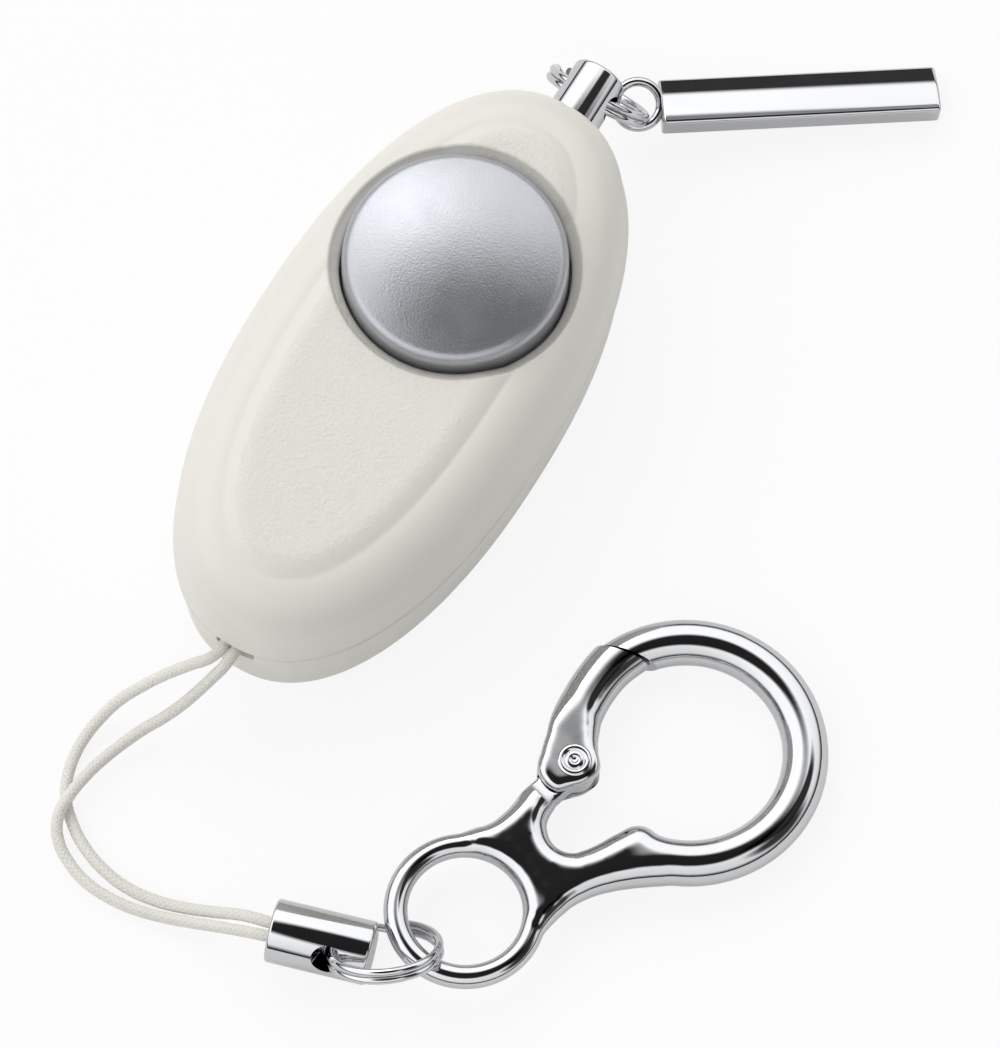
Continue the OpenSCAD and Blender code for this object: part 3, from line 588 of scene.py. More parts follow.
def front_stations(direction):
    """The closed section along one ray, as distances and heights; long rays crowd them to the seam."""
    outer, inner = reach(direction, 0.0), reach(direction, LIP_IN)
    rim = WELL_R + RIM_R
    span = outer - rim
    bend = 1 + min(max((span - EVEN_SPAN) / (BENT_SPAN - EVEN_SPAN), 0), 1)
    out = [(outer - SEAM_IN, SEAM_Z + SEAM_LOW)]
    for k in range(STEPS + 1):
        d = outer - span * (k / STEPS) ** bend
        out.append((d, max(front_height(inset_at(WELL + direction * d)), SEAM_Z + SEAM_HIGH)))
    top = out[-1][1]
    for k in range(1, RIM_STEPS + 1):
        a = math.radians(RIM_STEP * k)
        out.append((rim - RIM_R * math.sin(a), top - RIM_R * (1 - math.cos(a))))
    d, z = out[-1]
    out += [(d + (FOOT_R - d) * s, z - WELL_SLOPE * s) for s in (0.35, 0.7, 1.0)]
    out += [(FOOT_R, SHELF_TOP + 0.3), (FOOT_R - 0.3, SHELF_TOP)]
    out += [(BORE_R + 0.2, SHELF_TOP), (BORE_R, SHELF_TOP - 0.2), (BORE_R, SHELF_LOW), (TUBE_R, SHELF_LOW)]
    for k in range(CEILING_STEPS + 1):
        d = TUBE_R + (inner - TUBE_R) * k / CEILING_STEPS
        out.append((d, max(ceiling_height(inset_at(WELL + direction * d)), SHELF_LOW if k == 0 else SEAM_Z)))
    out.append((inner, SEAM_Z))
    return out


ray_angles = [2 * math.pi * i / RAYS for i in range(RAYS)]
directions = [Vector((math.sin(a), math.cos(a))) for a in ray_angles]
sections = [front_stations(d) for d in directions]
print("section stations:", len(sections[0]))

# %% Front shell mesh
def front_place(i, k):
    d, z = sections[i][k]
    return (*(WELL + directions[i] * d), z)


bm = bmesh.new()
seam_edges, inner_edges = loft(bm, RAYS, len(sections[0]), front_place)
bmesh.ops.bridge_loops(bm, edges=seam_edges + inner_edges)
for face in bm.faces:
    middle = face.calc_center_median()
    face.material_index = 1 if middle.z > TEXTURE_Z and inset_at(middle) > TEXTURE_IN else 0
front_skin = settle(
    bm, "front_skin", [ivory_smooth, ivory_textured], "alarm_body", "ivory_plastic", ["front_shell"],
    sharp=50)

# %% [markdown]
# ## Holes in the shells
# The pull pin slides in a round bore that lies half in each shell, so the same cutter is used on both. A
# Boolean modifier does the cutting, and its result is kept as the piece's own mesh.

# %% Pin bore in the front shell
PIN_Y, PIN_TIP, PIN_Z, PIN_R, SHANK_R, SHANK_Y, BORE_Y = 31.2, 38.6, 11.0, 2.8, 1.6, 23.0, 27.0
PIN_GAP, PIN_SEAT_GAP = 0.1, 0.05


def pin_bore(bm):
    rod(bm, PIN_R + PIN_GAP, (0, PIN_Y - PIN_SEAT_GAP, PIN_Z), (0, PIN_TIP, PIN_Z))


def shank_bore(bm):
    rod(bm, SHANK_R + PIN_GAP, (0, BORE_Y, PIN_Z), (0, PIN_TIP, PIN_Z))


cut_away(front_skin, [pin_bore, shank_bore], sharp=50)

# %% [markdown]
# ## Rear shell
# The rear shell has no well, so it is lofted straight from the outline: the flat back, a round edge, a
# drafted wall up to the seam, and the same again inside. Sound slots, screw recesses, the cord slot and the
# pin bore are then cut away.

# %% Rear shell mesh
SIDES = 192
BACK_IN, BACK_R, INNER_IN, INNER_TOP, INNER_R = 0.6, 4.0, 2.4, 4.8, 3.0


def quarter(r, step):
    """Points of a quarter circle, as ways across and up from its start."""
    angles = [math.radians(degrees) for degrees in range(0, 91, step)]
    return [(r * (1 - math.cos(a)), r * math.sin(a)) for a in angles]


rear_section = [(BACK_IN + across, BACK_R - up) for across, up in reversed(quarter(BACK_R, 9))]
rear_section += [
    (0.33, 7.4), (0.0, 10.68), (0.03, 10.76), (0.34, 10.96), (0.5, 10.98), (1.95, SEAM_Z), (2.2, 7.5)]
rear_section += [(INNER_IN + across, INNER_TOP - up) for across, up in quarter(INNER_R, 15)]


def rear_place(i, k):
    inset, z = rear_section[k]
    return (*outline_point(2 * math.pi * i / SIDES, inset), z)


bm = bmesh.new()
floor_edges = loft(bm, SIDES, len(rear_section), rear_place, cap=True)[1]
bmesh.ops.contextual_create(bm, geom=floor_edges)
rear_skin = settle(bm, "rear_skin", [ivory_smooth], "alarm_body", "ivory_plastic", ["rear_shell"], sharp=40)

# %% Rear shell cuts
SLOTS, SLOT_SIZE, SLOT_END_R, SLOT_PITCH, SLOTS_Y = 5, (10, 1.2, 4), 0.55, 2.6, 9.5
SCREWS, SCREW_R, SCREW_DEPTH = ((7.2, -25), (-7.2, -25), (6.8, 24.4), (-6.8, 24.4)), 2.0, 2.2
CORD_SLOT, CORD_SLOT_AT, CORD_SLOT_R = (4.2, 4, 2.4), (0.4, -32.0, SEAM_Z - 0.2), 0.5


def run(edge):
    """How far an edge runs along each axis."""
    return [abs(x) for x in edge.verts[0].co - edge.verts[1].co]


def sound_slots(bm):
    for k in range(SLOTS):
        edges = block(bm, SLOT_SIZE, (0, SLOTS_Y + (k - SLOTS // 2) * SLOT_PITCH, 1))
        upright = [e for e in edges if run(e)[2] > 1]
        bmesh.ops.bevel(
            bm, geom=upright, offset=SLOT_END_R, segments=6, profile=0.5, affect="EDGES", material=-1)


def screw_recesses(bm):
    for x, y in SCREWS:
        rod(bm, SCREW_R, (x, y, -1), (x, y, SCREW_DEPTH), 48)


def cord_slot(bm):
    edges = block(bm, CORD_SLOT, CORD_SLOT_AT)
    low = [e for e in edges if run(e)[1] > 1 and e.verts[0].co.z < SEAM_Z]
    bmesh.ops.bevel(bm, geom=low, offset=CORD_SLOT_R, segments=5, profile=0.5, affect="EDGES", material=-1)


cut_away(rear_skin, [pin_bore, shank_bore, sound_slots, screw_recesses, cord_slot], sharp=40)

# %% [markdown]
# ## Push button
# The button is turned: a shallow dome, a rounded edge, a skirt and a sleeve. One closed profile is spun
# round the button's axis, which gives the same shape a lathe would.

# %% Spin helper
SPIN_MERGE = 0.0005


def spun(profile, axis_point, steps=128, aim=(0, 0, 1)):
    """A bmesh spun from a profile of (radius, height) points; aim turns its axis from Z to a direction."""
    bm = bmesh.new()
    verts = [bm.verts.new((r, 0, h)) for r, h in profile]
    for a, b in zip(verts, verts[1:]):
        bm.edges.new((a, b))
    spin(bm, bm.verts[:] + bm.edges[:], 360, steps, merge=True)
    bmesh.ops.remove_doubles(bm, verts=bm.verts, dist=SPIN_MERGE)
    turned(bm, Vector((0, 0, 1)).rotation_difference(Vector(aim)).to_matrix(), axis_point)
    return bm


def rounded(corner, before, after, r, steps=5):
    """Points that round a profile's corner, between the points before and after it."""
    c, a, b = Vector(corner), Vector(before), Vector(after)
    u, w = (a - c).normalized(), (b - c).normalized()
    half = u.angle(w) / 2
    cut = r / math.tan(half)
    middle = c + (u + w).normalized() * (r / math.sin(half))
    p, q = c + u * cut - middle, c + w * cut - middle
    arc = p.angle(q)
    points = []
    for k in range(steps + 1):
        s = k / steps
        points.append(tuple(middle + (p * math.sin((1 - s) * arc) + q * math.sin(s * arc)) / math.sin(arc)))
    return points


# %% Button
BUTTON_AT = Vector((*WELL, 0))
BUTTON_R, EDGE_Z, EDGE_R, DOME_H, DOME_STEPS = 11.25, 22.2, 1.4, 2.0, 28
dome_r = (BUTTON_R ** 2 + DOME_H ** 2) / (2 * DOME_H)
edge_a = math.asin(BUTTON_R / dome_r)
dome_a = [edge_a * k / DOME_STEPS for k in range(DOME_STEPS)]
dome = [(dome_r * math.sin(a), EDGE_Z + DOME_H - dome_r * (1 - math.cos(a))) for a in dome_a]
edge = rounded((BUTTON_R, EDGE_Z), dome[-2], (BUTTON_R, 18), EDGE_R, 10)
dome = [p for p in dome if p[0] < edge[0][0] - 0.1]
under = [(BUTTON_R, 16.9), (10.05, 16.9), (10.05, 20.6), (9.6, 20.6), (9.6, 13.7), (10.5, 13.7), (9.6, 12.6),
         (8.4, 12.6), (8.4, 20.6), (2.2, 20.6), (2.2, 15.45), (0, 15.45)]
bm = spun(dome + edge + under, BUTTON_AT, steps=160)
button = settle(bm, "button_dome", [silver_paint], "push_button", "satin_silver", ["button_cap"], sharp=38)
HOOK_GAP, HOOK_GAP_AT = (4.1, 4, 4.6), Vector((9.45, 0, 13.9))


def hook_gaps(bm):
    """Four gaps that part the sleeve's foot into springy hooks."""
    for angle in (45, 135, 225, 315):
        block(bm, HOOK_GAP, BUTTON_AT + about("Z", angle) @ HOOK_GAP_AT, angle)


cut_away(button, [hook_gaps], sharp=38)

# %% [markdown]
# ## Springs
# A helical spring is a small circle spun round an axis while it climbs: the spin operator's step vector
# does the climbing. The return spring under the button has six turns; the gate's spring is two turns of
# finer wire.

# %% Coil helper
def coil(wire_r, coil_r, turns, low, high, steps=40):
    """A coil about Z that climbs evenly from one height to another."""
    bm = bmesh.new()
    wire_end(bm, 10, wire_r, (coil_r, 0, low))
    spin(bm, list(bm.faces), 360 * turns, turns * steps, climb=high - low)
    bmesh.ops.remove_doubles(bm, verts=bm.verts, dist=SPIN_MERGE)
    return bm


# %% Return spring
bm = coil(wire_r=0.3, coil_r=5.5, turns=6, low=10.35, high=20.25)
bmesh.ops.translate(bm, vec=BUTTON_AT, verts=bm.verts)
return_spring = settle(
    bm, "return_spring", [bright_steel], "alarm_body", "spring_steel", ["button_spring"], sharp=60)
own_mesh(return_spring)

# %% [markdown]
# ## Pull pin
# The pin's head is a polished rod with a small chamfer and a cross hole for the split ring. It is spun,
# then the hole is cut. The black shank behind it slides between two contacts inside the case.

# %% Pull pin
PIN_HOLE, PIN_HOLE_R = Vector((0, 35.85, PIN_Z)), 1.4
PIN_CHAMFER, PIN_TIP_R, SHANK_CHAMFER = 0.15, 0.4, 0.25
length = PIN_TIP - PIN_Y
head = [(0, 0), (PIN_R - PIN_CHAMFER, 0), (PIN_R, PIN_CHAMFER)]
head += rounded((PIN_R, length), (PIN_R, 0.2), (0, length), PIN_TIP_R, 6) + [(0, length)]
pin_head = settle(
    spun(head, (0, PIN_Y, PIN_Z), aim=(0, 1, 0)), "pin_head", [chrome_plate], "pull_pin", "chrome_metal",
    ["pull_pin_head"], sharp=40)


def ring_hole(bm):
    rod(bm, PIN_HOLE_R, PIN_HOLE - Vector((5, 0, 0)), PIN_HOLE + Vector((5, 0, 0)))


cut_away(pin_head, [ring_hole], sharp=40)
length = PIN_Y - SHANK_Y
shank = [(0, 0), (SHANK_R - SHANK_CHAMFER, 0), (SHANK_R, SHANK_CHAMFER), (SHANK_R, length), (0, length)]
settle(
    spun(shank, (0, SHANK_Y, PIN_Z), aim=(0, 1, 0)), "pin_shank", [black_moulding], "pull_pin",
    "black_plastic", ["pull_pin_shank"], sharp=40)

# %% [markdown]
# ## Split rings
# A split ring is one wire wound twice, with a short jog where it steps from one turn to the other. A circle
# is spun most of the way round, climbs by one wire over the jog, and is spun round again. Each spin starts
# on the last one's end face, so the two end faces inside the wire are deleted.

# %% Split ring helper
WIRE_R, TURN_PITCH = 0.42, 0.80


def split_ring(ring_r, jog_at, jog=26, steps=120):
    """A two-turn ring about Z, with its jog at an angle in degrees."""
    bm = bmesh.new()
    wire_end(bm, 16, WIRE_R, (ring_r, 0, -TURN_PITCH / 2), jog_at + jog / 2)
    tip, tips = list(bm.faces), []
    for degrees, climb in ((360 - jog, 0.0), (jog, TURN_PITCH), (360 - jog, 0.0)):
        count = max(int(steps * degrees / 360), 8)
        tip = [g for g in spin(bm, tip, degrees, count, climb) if isinstance(g, bmesh.types.BMFace)]
        tips.append(tip)
    bmesh.ops.delete(bm, geom=tips[0] + tips[1], context="FACES_ONLY")
    bmesh.ops.remove_doubles(bm, verts=bm.verts, dist=SPIN_MERGE)
    return bm


# %% Pull ring
PULL_R, LEAN = 5.2, 27.0
pull_sag = PULL_R - math.sqrt(PULL_R ** 2 - PIN_R ** 2)
down = Vector((0, math.sin(math.radians(LEAN)), -math.cos(math.radians(LEAN))))
pull_centre = PIN_HOLE + down * (PULL_R - pull_sag / 2)
bm = split_ring(PULL_R, 200)
turned(bm, about("X", 90 + LEAN), pull_centre)
settle(bm, "pull_split_ring", [chrome_plate], "pull_loop", "chrome_metal", ["pull_ring"], sharp=60)

# %% [markdown]
# ## Tag
# The tag is a polished bar on a small wire loop. The bar is a cube that two slanting planes bisect: its
# face leans a little, and a facet runs along the far edge. The ridge between them gets a wide, soft bevel
# and the other edges a narrow one, so the bar mirrors in bands. A thin inset round each broad face keeps
# its shading flat. The loop is a spun circle.

# %% Tag
TAG_L, TAG_W, TAG_T, LOOP_R, LOOP_WIRE = 28.3, 5.7, 3.0, 2.3, 0.5
ON_RING, HEADING, DROP, ROLL, SEAT = 48.0, 35.5, 3.5, 20.0, (0.25, 0.75, 0)
FACE_TILT, FACET, RIDGE_Y = -2.2, 31.2, TAG_W / 2 - 3.4
RIDGE_BEVEL, EDGE_BEVEL, FACE_INSET, BROAD_AREA = 1.6, 0.32, 0.06, 10
a = math.radians(ON_RING)
loop_place = pull_centre + Vector((PULL_R * math.cos(a), 0, 0)) + down * (PULL_R * math.sin(a))
bm = bmesh.new()
block(bm, (TAG_L, TAG_W, TAG_T), (LOOP_R + TAG_L / 2, 0, 0))
for tilt in (FACE_TILT, FACET):
    cut = bmesh.ops.bisect_plane(
        bm, geom=bm.verts[:] + bm.edges[:] + bm.faces[:], dist=0.0001, plane_co=(0, RIDGE_Y, TAG_T / 2),
        plane_no=about("X", -tilt) @ Vector((0, 0, 1)), clear_outer=True)["geom_cut"]
    bmesh.ops.contextual_create(bm, geom=[g for g in cut if isinstance(g, bmesh.types.BMEdge)])
ridge = [e for e in bm.edges if all(abs(v.co.y - RIDGE_Y) < 0.01 and v.co.z > 1 for v in e.verts)]
bmesh.ops.bevel(bm, geom=ridge, offset=RIDGE_BEVEL, segments=10, profile=0.5, affect="EDGES", material=-1)
sharp = [e for e in bm.edges if e.calc_face_angle(0) > math.radians(25)]
bmesh.ops.bevel(bm, geom=sharp, offset=EDGE_BEVEL, segments=5, profile=0.5, affect="EDGES", material=-1)
broad = [f for f in bm.faces if f.calc_area() > BROAD_AREA]
bmesh.ops.inset_individual(bm, faces=broad, thickness=FACE_INSET)
print("tag: ridge edges", len(ridge), "sharp edges", len(sharp), "broad faces", len(broad))
bmesh.ops.rotate(bm, cent=(LOOP_R, 0, 0), matrix=about("X", -ROLL), verts=bm.verts)
hoop(bm, (0, 0, 0), LOOP_R, LOOP_WIRE, sides=18, step=5)
bmesh.ops.translate(bm, vec=SEAT, verts=bm.verts)
turned(bm, about("Z", HEADING) @ about("Y", DROP) @ about("X", ROLL), loop_place)
settle(bm, "tag_bar", [chrome_plate], "tag", "chrome_metal", ["pull_tag"], sharp=30)

# %% [markdown]
# ## Ferrule
# The two strands are crimped into a short polished tube. A slanting hole near its far end takes the lanyard
# ring, so the hole is cut along the ring's own direction.

# %% Ferrule
FERRULE_R, FERRULE_L, FERRULE_TURN = 3.2, 10.2, 16.8
FERRULE_START = Vector((17.3, -53.46, FERRULE_R))
SOCKET_R, SOCKET_L, MOUTH_R, RING_IN, RING_HOLE_R, RING_RISE, RING_ROLL = 1.35, 3.6, 1.6, 3.3, 1.5, -20, -42
along_ferrule = about("Z", FERRULE_TURN) @ Vector((1, 0, 0))
tube = [(SOCKET_R, SOCKET_L), (SOCKET_R, MOUTH_R - SOCKET_R), (MOUTH_R, 0)]
tube += rounded((FERRULE_R, 0), (MOUTH_R, 0), (FERRULE_R, 5), 0.3, 4)
tube += rounded((FERRULE_R, FERRULE_L), (FERRULE_R, 5), (0, FERRULE_L), 0.35, 4)
profile = [(0, SOCKET_L)] + tube + [(0, FERRULE_L)]
ferrule = settle(
    spun(profile, FERRULE_START, aim=along_ferrule), "ferrule_tube", [chrome_plate], "alarm_body",
    "chrome_metal", ["cord_ferrule"], sharp=40)
ring_turn = about("Z", FERRULE_TURN) @ about("Y", RING_RISE) @ about("X", RING_ROLL)
ferrule_hole = FERRULE_START + along_ferrule * (FERRULE_L - RING_IN)
hole_way = ring_turn @ Vector((0, 1, 0))


def slant_hole(bm):
    rod(bm, RING_HOLE_R, ferrule_hole - hole_way * 9, ferrule_hole + hole_way * 9)


cut_away(ferrule, [slant_hole], sharp=40)

# %% Lanyard ring
LANYARD_R = 5.4
lanyard_sag = LANYARD_R - math.sqrt(LANYARD_R ** 2 - FERRULE_R ** 2)
bm = split_ring(LANYARD_R, 118)
turned(bm, ring_turn, ferrule_hole + ring_turn @ Vector((LANYARD_R - lanyard_sag / 2, 0, 0)))
lanyard_loop = settle(
    bm, "lanyard_split_ring", [chrome_plate], "lanyard_loop", "chrome_metal", ["lanyard_ring"], sharp=60)

# %% [markdown]
# ## Snap clip
# The clip is a polished casting: a thick ring, a thin eye and two arms that flow into each other round a
# keyhole throat. Such a form has no edges to extrude, so it is built like clay: a spun arc and a spun eye,
# and an outline filled with the largest balls that fit in it. A voxel remesh melts them into one skin, and
# smoothing rounds the joins.

# %% Clip sizes
CLIP_R, CLIP_WIRE, EYE_R, EYE_WIRE, EYE_REACH = 11.65, 2.25, 6.85, 1.15, 27.7
CLIP_X, CLIP_Y, CLIP_TURN, CLIP_PITCH = 42.87, -16.43, -21.6, 2.0
clip_z = CLIP_WIRE + (CLIP_R + CLIP_WIRE) * math.sin(math.radians(CLIP_PITCH))
clip_place = Vector((CLIP_X, CLIP_Y, clip_z))
clip_turn = about("Z", CLIP_TURN) @ about("X", -CLIP_PITCH)
RIVET = Vector((-5.5, -10, 0))
NOSE_A, NOSE_B = Vector((-14.2, -0.5, 0)), Vector((-9, 2.8, 0))
NOSE_CUT, NOSE_GAP = (14, 10, 12), 0.25
nose_along = (NOSE_B - NOSE_A).normalized()
nose_away = Vector((-nose_along.y, nose_along.x, 0))
nose_turn = math.degrees(math.atan2(nose_along.y, nose_along.x))
nose_mid, nose_step = (NOSE_A + NOSE_B) / 2, (NOSE_CUT[1] - NOSE_GAP) / 2
print("clip ring at", [round(x, 2) for x in clip_place], "nose turned by", round(nose_turn, 1))

# %% Fill an outline
CREEP, GAIN = 0.12, 0.02
bm = bmesh.new()
bmesh.ops.create_icosphere(bm, subdivisions=4, radius=1.0)
ball = baked(bm, "ball")
print("ball", len(ball.polygons), "faces")


def below(y, start, over):
    """A share that grows from 0 to 1 as y falls from a start, over a length."""
    return min(max((start - y) / over, 0), 1)


def pillow(bm, corners, form, hole=None, step=0.5):
    """Fill an outline with the largest balls that fit; form(y) gives their greatest radius and lift."""
    line = [Vector(c) for c in corners]
    for _ in range(2):
        line = [p for a, b in zip(line, line[1:] + line[:1]) for p in (a.lerp(b, 0.25), a.lerp(b, 0.75))]
    sides = list(zip(line, line[1:] + line[:1]))

    def wall(p):
        near = [a.lerp(b, min(max(intersect_point_line(p, a, b)[1], 0), 1)) for a, b in sides]
        if hole:
            centre = Vector(hole[:2])
            near.append(centre + (p - centre).normalized() * hole[2])
        return min(near, key=lambda q: (p - q).length)

    low = Vector((min(p.x for p in line), min(p.y for p in line)))
    high = Vector((max(p.x for p in line), max(p.y for p in line)))
    for i, j in itertools.product(range(int((high.x - low.x) / step)), range(int((high.y - low.y) / step))):
        p = low + Vector((i + 0.5, j + 0.5)) * step
        crossed = [a for a, b in sides
                   if (a.y > p.y) != (b.y > p.y) and p.x < a.x + (b.x - a.x) * (p.y - a.y) / (b.y - a.y)]
        if len(crossed) % 2 == 0 or (hole and (p - Vector(hole[:2])).length < hole[2]):
            continue
        q = wall(p)
        cap, lift = form(p.y)
        while (p - q).length < cap:
            ahead = p + (p - q).normalized() * CREEP
            if (ahead - wall(ahead)).length <= (p - q).length + GAIN:
                break
            p, q = ahead, wall(ahead)
        cap, lift = form(p.y)
        for z in {0.0, lift, -lift}:
            place = Matrix.Translation((p.x, p.y, z)) @ Matrix.Scale(min((p - q).length, cap), 4)
            ball.transform(place)
            bm.from_mesh(ball)
            ball.transform(place.inverted())


# %% Melt and cut
def on_rivet(bm, r, low, high, segments=64):
    """A cylinder round the rivet's axis, between two heights."""
    rod(bm, r, (RIVET.x, RIVET.y, low), (RIVET.x, RIVET.y, high), segments)


def cast(build, cuts, name, body, node, voxel, rounds):
    """Melt overlapping forms into one skin, smooth it, cut it and put it in its place."""
    piece = shape_of(build)
    piece.name = name
    grid = piece.modifiers.new("grid", "REMESH")
    grid.mode = "VOXEL"
    grid.voxel_size = voxel * MM
    melt = piece.modifiers.new("melt", "SMOOTH")
    melt.factor, melt.iterations = 0.5, rounds
    keep_modified(piece)
    cut_away(piece, cuts)
    bm = bmesh.new()
    bm.from_mesh(piece.data)
    bmesh.ops.remove_doubles(bm, verts=bm.verts, dist=SLIVER / 2)
    bmesh.ops.transform(
        bm, matrix=Matrix.Translation(clip_place * MM) @ clip_turn.to_4x4(), verts=bm.verts)
    bmesh.ops.recalc_face_normals(bm, faces=bm.faces)
    bm.to_mesh(piece.data)
    bm.free()
    piece.data.materials.clear()
    return dress(piece, [chrome_plate], body, "chrome_metal", [node], sharp=35)


# %% Clip body
YOKE = [
    (9.3, -10.9), (8.1, -12.7), (6.8, -15.2), (5.9, -18.2), (6.2, -21.8), (7.4, -26), (-7.4, -26),
    (-6.6, -22.6), (-5.7, -20), (-5.9, -17.6), (-6.7, -15.2), (-6.7, -13.2), (-3.1, -13), (-3.2, -14.2),
    (-2.7, -15.4), (-1.6, -16.3), (0, -16.6), (1.2, -16.1), (2, -15), (2.5, -11.6), (2.8, -9.2), (3.4, -7.7),
    (4.6, -7.9), (5.6, -7.5), (7, -6.3), (8.1, -4.7), (12, -6.9), (10.3, -9.3)]
YOKE_R, YOKE_THINS, THIN_FROM, THIN_OVER = 2.3, 0.7, -11, 10
ARC_START, ARC_SPAN = -52, 238
LUG_R, LUG_T, LUG_L, LUG_W, LUG_TURN = 2.4, 2.4, 6.4, 3.0, 6
SWEEP_R, SWEEP_IN, SWEEP_OUT = 4.9, 1.25, 6


def yoke_form(y):
    """The yoke thins towards the eye, and its balls lie in one layer."""
    return YOKE_R - YOKE_THINS * below(y, THIN_FROM, THIN_OVER), 0.0


def clip_clay(bm):
    """The large ring's arc, the eye, the yoke between them and the hinge lug."""
    hoop(bm, (0, 0, 0), CLIP_R, CLIP_WIRE + 0.05, ARC_START, ARC_SPAN)
    hoop(bm, (0, -EYE_REACH, 0), EYE_R, EYE_WIRE + 0.08)
    pillow(bm, YOKE, yoke_form, (0, -EYE_REACH, EYE_R - EYE_WIRE))
    on_rivet(bm, LUG_R, -LUG_T / 2, LUG_T / 2)
    block(bm, (LUG_W, LUG_L, LUG_T), (-5.1, -13, 0), LUG_TURN)


def beyond_nose(bm):
    """What lies past the slanted end of the ring, where the gate begins."""
    block(bm, NOSE_CUT, nose_mid - nose_away * nose_step, nose_turn)


def gate_sweep(bm):
    """Room above and below the lug for the turning gate."""
    for low, high in ((SWEEP_IN, SWEEP_OUT), (-SWEEP_OUT, -SWEEP_IN)):
        on_rivet(bm, SWEEP_R, low, high, 96)


clip_cast = cast(
    clip_clay, [beyond_nose, gate_sweep], "clip_casting", "snap_clip", "clip_body", voxel=0.15, rounds=40)

# %% [markdown]
# ## Gate
# The gate carries the ring's round wire on to the hinge, where it widens and flattens round the rivet. It
# is filled and melted the same way, with the balls in three layers at the hinge, so that its faces come out
# flat. Then its slanted tip and the slots that clear the hinge lug in every position are cut.

# %% Gate
GATE = [
    (-7.2, -13.8), (-9.0, -11.2), (-11.5, -8.1), (-13.2, -4.6), (-14.3, -1), (-14.5, 2), (-14.3, 7),
    (-9.4, 7), (-9.4, 2), (-9.4, -0.4), (-8.6, -3), (-7.4, -5.2), (-5.4, -7), (-3.3, -8.1), (-2.8, -9),
    (-3.4, -12.2), (-4.3, -13.8)]
GATE_R, GATE_THINS, GATE_LIFT, FLAT_FROM, FLAT_OVER = 2.28, 1.38, 1.35, -5.5, 3.5
CHEEK_Z, SLOT_R, SLOT_T = 2.22, 2.75, 2.7
LUG_ROOM, LUG_ANGLES = (3.5, LUG_L, SLOT_T), (6, 20, 34)


def gate_form(y):
    """Round wire above, and three layers of smaller balls where the hinge is flat."""
    flat = below(y, FLAT_FROM, FLAT_OVER)
    return GATE_R - GATE_THINS * flat, GATE_LIFT * flat


def gate_clay(bm):
    """The gate's arm and the round cheeks of its hinge."""
    pillow(bm, GATE, gate_form, step=0.4)
    on_rivet(bm, LUG_R, -CHEEK_Z, CHEEK_Z)


def gate_tip(bm):
    block(bm, NOSE_CUT, nose_mid + nose_away * nose_step, nose_turn)


def gate_slot(bm):
    on_rivet(bm, SLOT_R, -SLOT_T / 2, SLOT_T / 2)


def lug_room(angle):
    """A cutter that clears the lug with the gate at one angle."""
    def build(bm):
        way = about("Z", angle) @ Vector((0, -1, 0))
        block(bm, LUG_ROOM, RIVET + way * (LUG_L / 2), angle)
    return build


gate_cast = cast(
    gate_clay, [gate_tip, gate_slot, *map(lug_room, LUG_ANGLES)], "gate_casting", "gate", "clip_gate",
    voxel=0.12, rounds=80)

# %% Rivet and gate spring
rivet_place = clip_place + clip_turn @ RIVET
rivet_profile = [
    (0, -2.2), (1.45, -2.2), (1.7, -1.98), (0.8, -1.95), (0.8, 2.24), (1.7, 2.25), (1.7, 2.36),
    (1.55, 2.5), (1.3, 2.55), (1.12, 2.46), (0.98, 2.36), (0.84, 2.44), (0.6, 2.52), (0.42, 2.46),
    (0.3, 2.36), (0.15, 2.3), (0, 2.29)]
bm = spun(rivet_profile, (0, 0, 0), steps=72)
turned(bm, clip_turn, rivet_place)
rivet = settle(bm, "rivet_head", [chrome_plate], "snap_clip", "chrome_metal", ["gate_rivet"], sharp=45)
bm = coil(wire_r=0.15, coil_r=1.45, turns=2, low=-0.75, high=0.75, steps=32)
turned(bm, clip_turn, rivet_place)
gate_coil = settle(bm, "gate_coil", [bright_steel], "snap_clip", "spring_steel", ["gate_spring"], sharp=60)

# %% [markdown]
# ## The cord's strands
# The lanyard is a free cord of two strands. Their lengths are printed.

print("strands:", round(length_a * 1000, 1), round(length_b * 1000, 1))

# %% [markdown]
# ## Inside the case
# The inner pieces keep their CAD shapes and only get finishes. They show when the case is opened or cut.

# %% Inner finishes
inner = {
    board_mask: ["circuit_board"], copper_winding: ["boost_coil"],
    black_moulding: ["tact_switch", "driver_chip", "drive_transistor"],
    white_moulding: ["switch_plunger", "sounder_ceramic"],
    bright_steel: ["coin_cells", "case_screws", "cord_anchor_pin"],
    sheet_brass: ["cell_base_contact", "cell_top_contact", "sounder_disc", "pin_contacts"]}
for material, nodes in inner.items():
    for node in nodes:
        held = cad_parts[node]
        held.data.materials.clear()
        held.data.materials.append(material)
print("dressed", sum(len(nodes) for nodes in inner.values()), "inner nodes")

# %% [markdown]
# ## Floor and light
# The floor is pale and plain. The world works like a studio tent: brighter at the upper left, where the
# photograph's highlights are, with a dark card beside the camera, two more to its right and a dark line
# along the horizon. Ivory hardly notices the cards, but chrome and the silver button mirror them as their
# black bands.

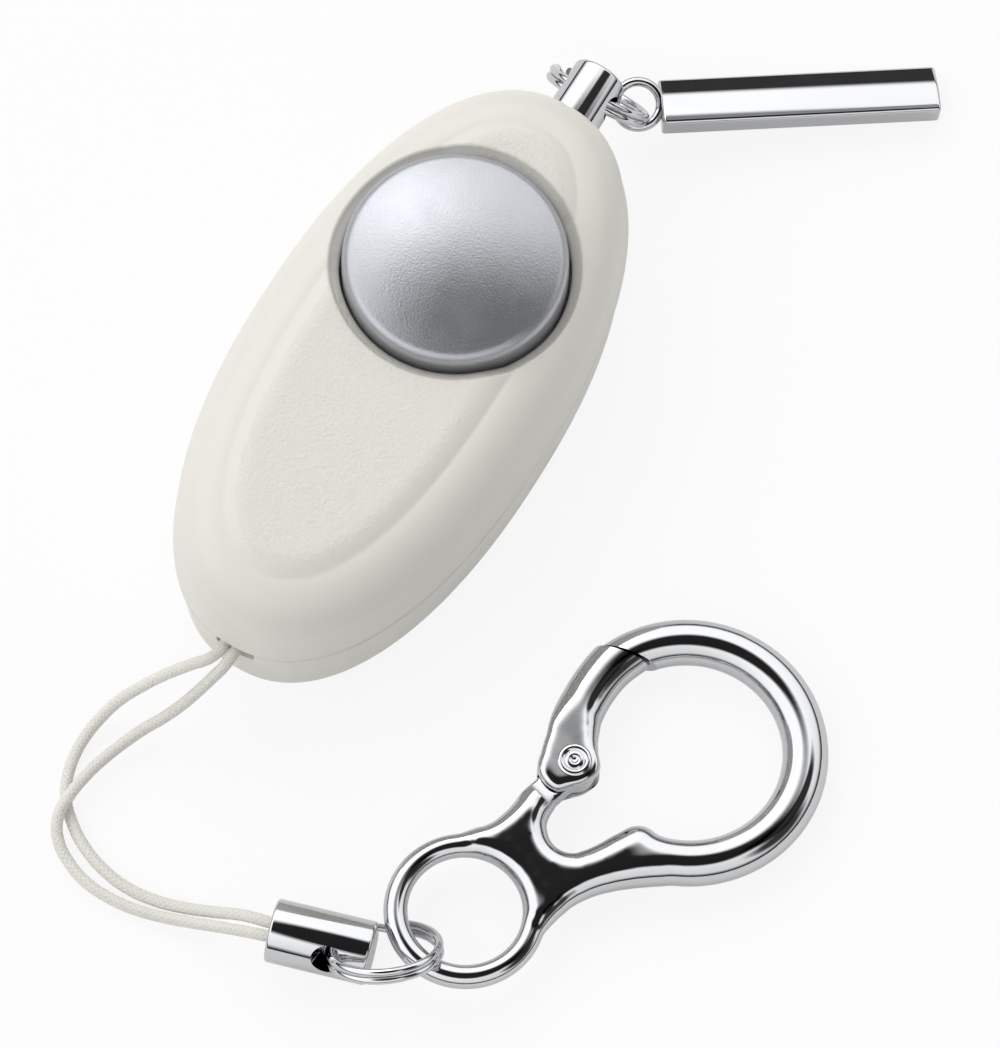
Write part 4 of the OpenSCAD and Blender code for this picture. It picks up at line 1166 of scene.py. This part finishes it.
# %% Floor
bm = bmesh.new()
bmesh.ops.create_grid(bm, x_segments=1, y_segments=1, size=3.0)
bmesh.ops.translate(bm, vec=(0, 0, -0.00005), verts=bm.verts)
floor = placed("floor", baked(bm, "floor"))
floor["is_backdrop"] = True
paper, p_tree = new_material("pale_paper")
p_tree.nodes.remove(p_tree.nodes["Principled BSDF"])
p_matte, p_white, p_path, p_mix = (
    p_tree.nodes.new("ShaderNode" + kind) for kind in ("BsdfDiffuse", "Emission", "LightPath", "MixShader"))
p_matte.inputs["Color"].default_value = (0.9, 0.9, 0.9, 1)
p_white.inputs["Strength"].default_value = 1.0
shares = [maths(p_tree, "MULTIPLY", p_path.outputs[ray], part) for ray, part in (
    ("Is Camera Ray", 0.86), ("Is Glossy Ray", 0.25), ("Is Transmission Ray", 0.25))]
seen = maths(p_tree, "MAXIMUM", shares[0], maths(p_tree, "MAXIMUM", shares[1], shares[2]))
p_tree.links.new(seen, p_mix.inputs["Fac"])
wire(
    p_tree, (p_matte, 0, p_mix, 1), (p_white, 0, p_mix, 2),
    (p_mix, 0, p_tree.nodes["Material Output"], "Surface"))
floor.data.materials.append(paper)
print("floor ready")

# %% Lamp
LAMP_FROM = Vector((-0.56, 0.42, 0.72))
window = bpy.data.lights.new("window", "AREA")
window.shape, window.size, window.energy = "SQUARE", 0.5, 1.0
lamp = placed("window", window)
lamp.location = look_at + LAMP_FROM
look_along(lamp, -LAMP_FROM)
print("lamp at", [round(x, 3) for x in lamp.location])

# %% World helper
world = bpy.data.worlds.new("studio")
bpy.context.scene.world = world
world.use_nodes = True
w_tree = world.node_tree
w_where = w_tree.nodes.new("ShaderNodeTexCoord")


def toward(direction, *values):
    """A value that changes with how nearly a ray points in a direction: two cosines, then two levels."""
    dot = w_tree.nodes.new("ShaderNodeVectorMath")
    dot.operation = "DOT_PRODUCT"
    dot.inputs[1].default_value = Vector(direction).normalized()
    level = w_tree.nodes.new("ShaderNodeMapRange")
    level.interpolation_type = "SMOOTHSTEP"
    for label, value in zip(("From Min", "From Max", "To Min", "To Max"), values):
        level.inputs[label].default_value = value
    wire(w_tree, (w_where, "Generated", dot, 0), (dot, "Value", level, "Value"))
    return level.outputs["Result"]


def card(direction, outer, inner, value):
    """A dark card in a direction, fading from an outer angle in degrees to its value at an inner one."""
    return toward(direction, math.cos(math.radians(outer)), math.cos(math.radians(inner)), 1.0, value)


# %% World
light = toward((-0.8, 0.25, 0.5), -0.6, 0.9, 1.06, 1.61)
for shade in (
        card((0.04, -0.07, 1.0), 33, 21, 0.015), card((0.82, 0.10, 0.56), 24, 10, 0.05),
        card((0.45, 0.32, 0.83), 22, 14, 0.03), toward((0, 0, 1), 0.07, 0.36, 0.03, 1.0)):
    light = maths(w_tree, "MULTIPLY", light, shade)
background = w_tree.nodes["Background"]
w_tree.links.new(light, background.inputs["Color"])
background.inputs["Strength"].default_value = 1.0
bpy.context.scene.view_settings.view_transform = "Standard"
print("world nodes:", len(w_tree.nodes))

visual_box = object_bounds()
for label, box in (("cad", cad_box), ("visual", visual_box)):
    print(label, [[round(x, 4) for x in corner] for corner in box])
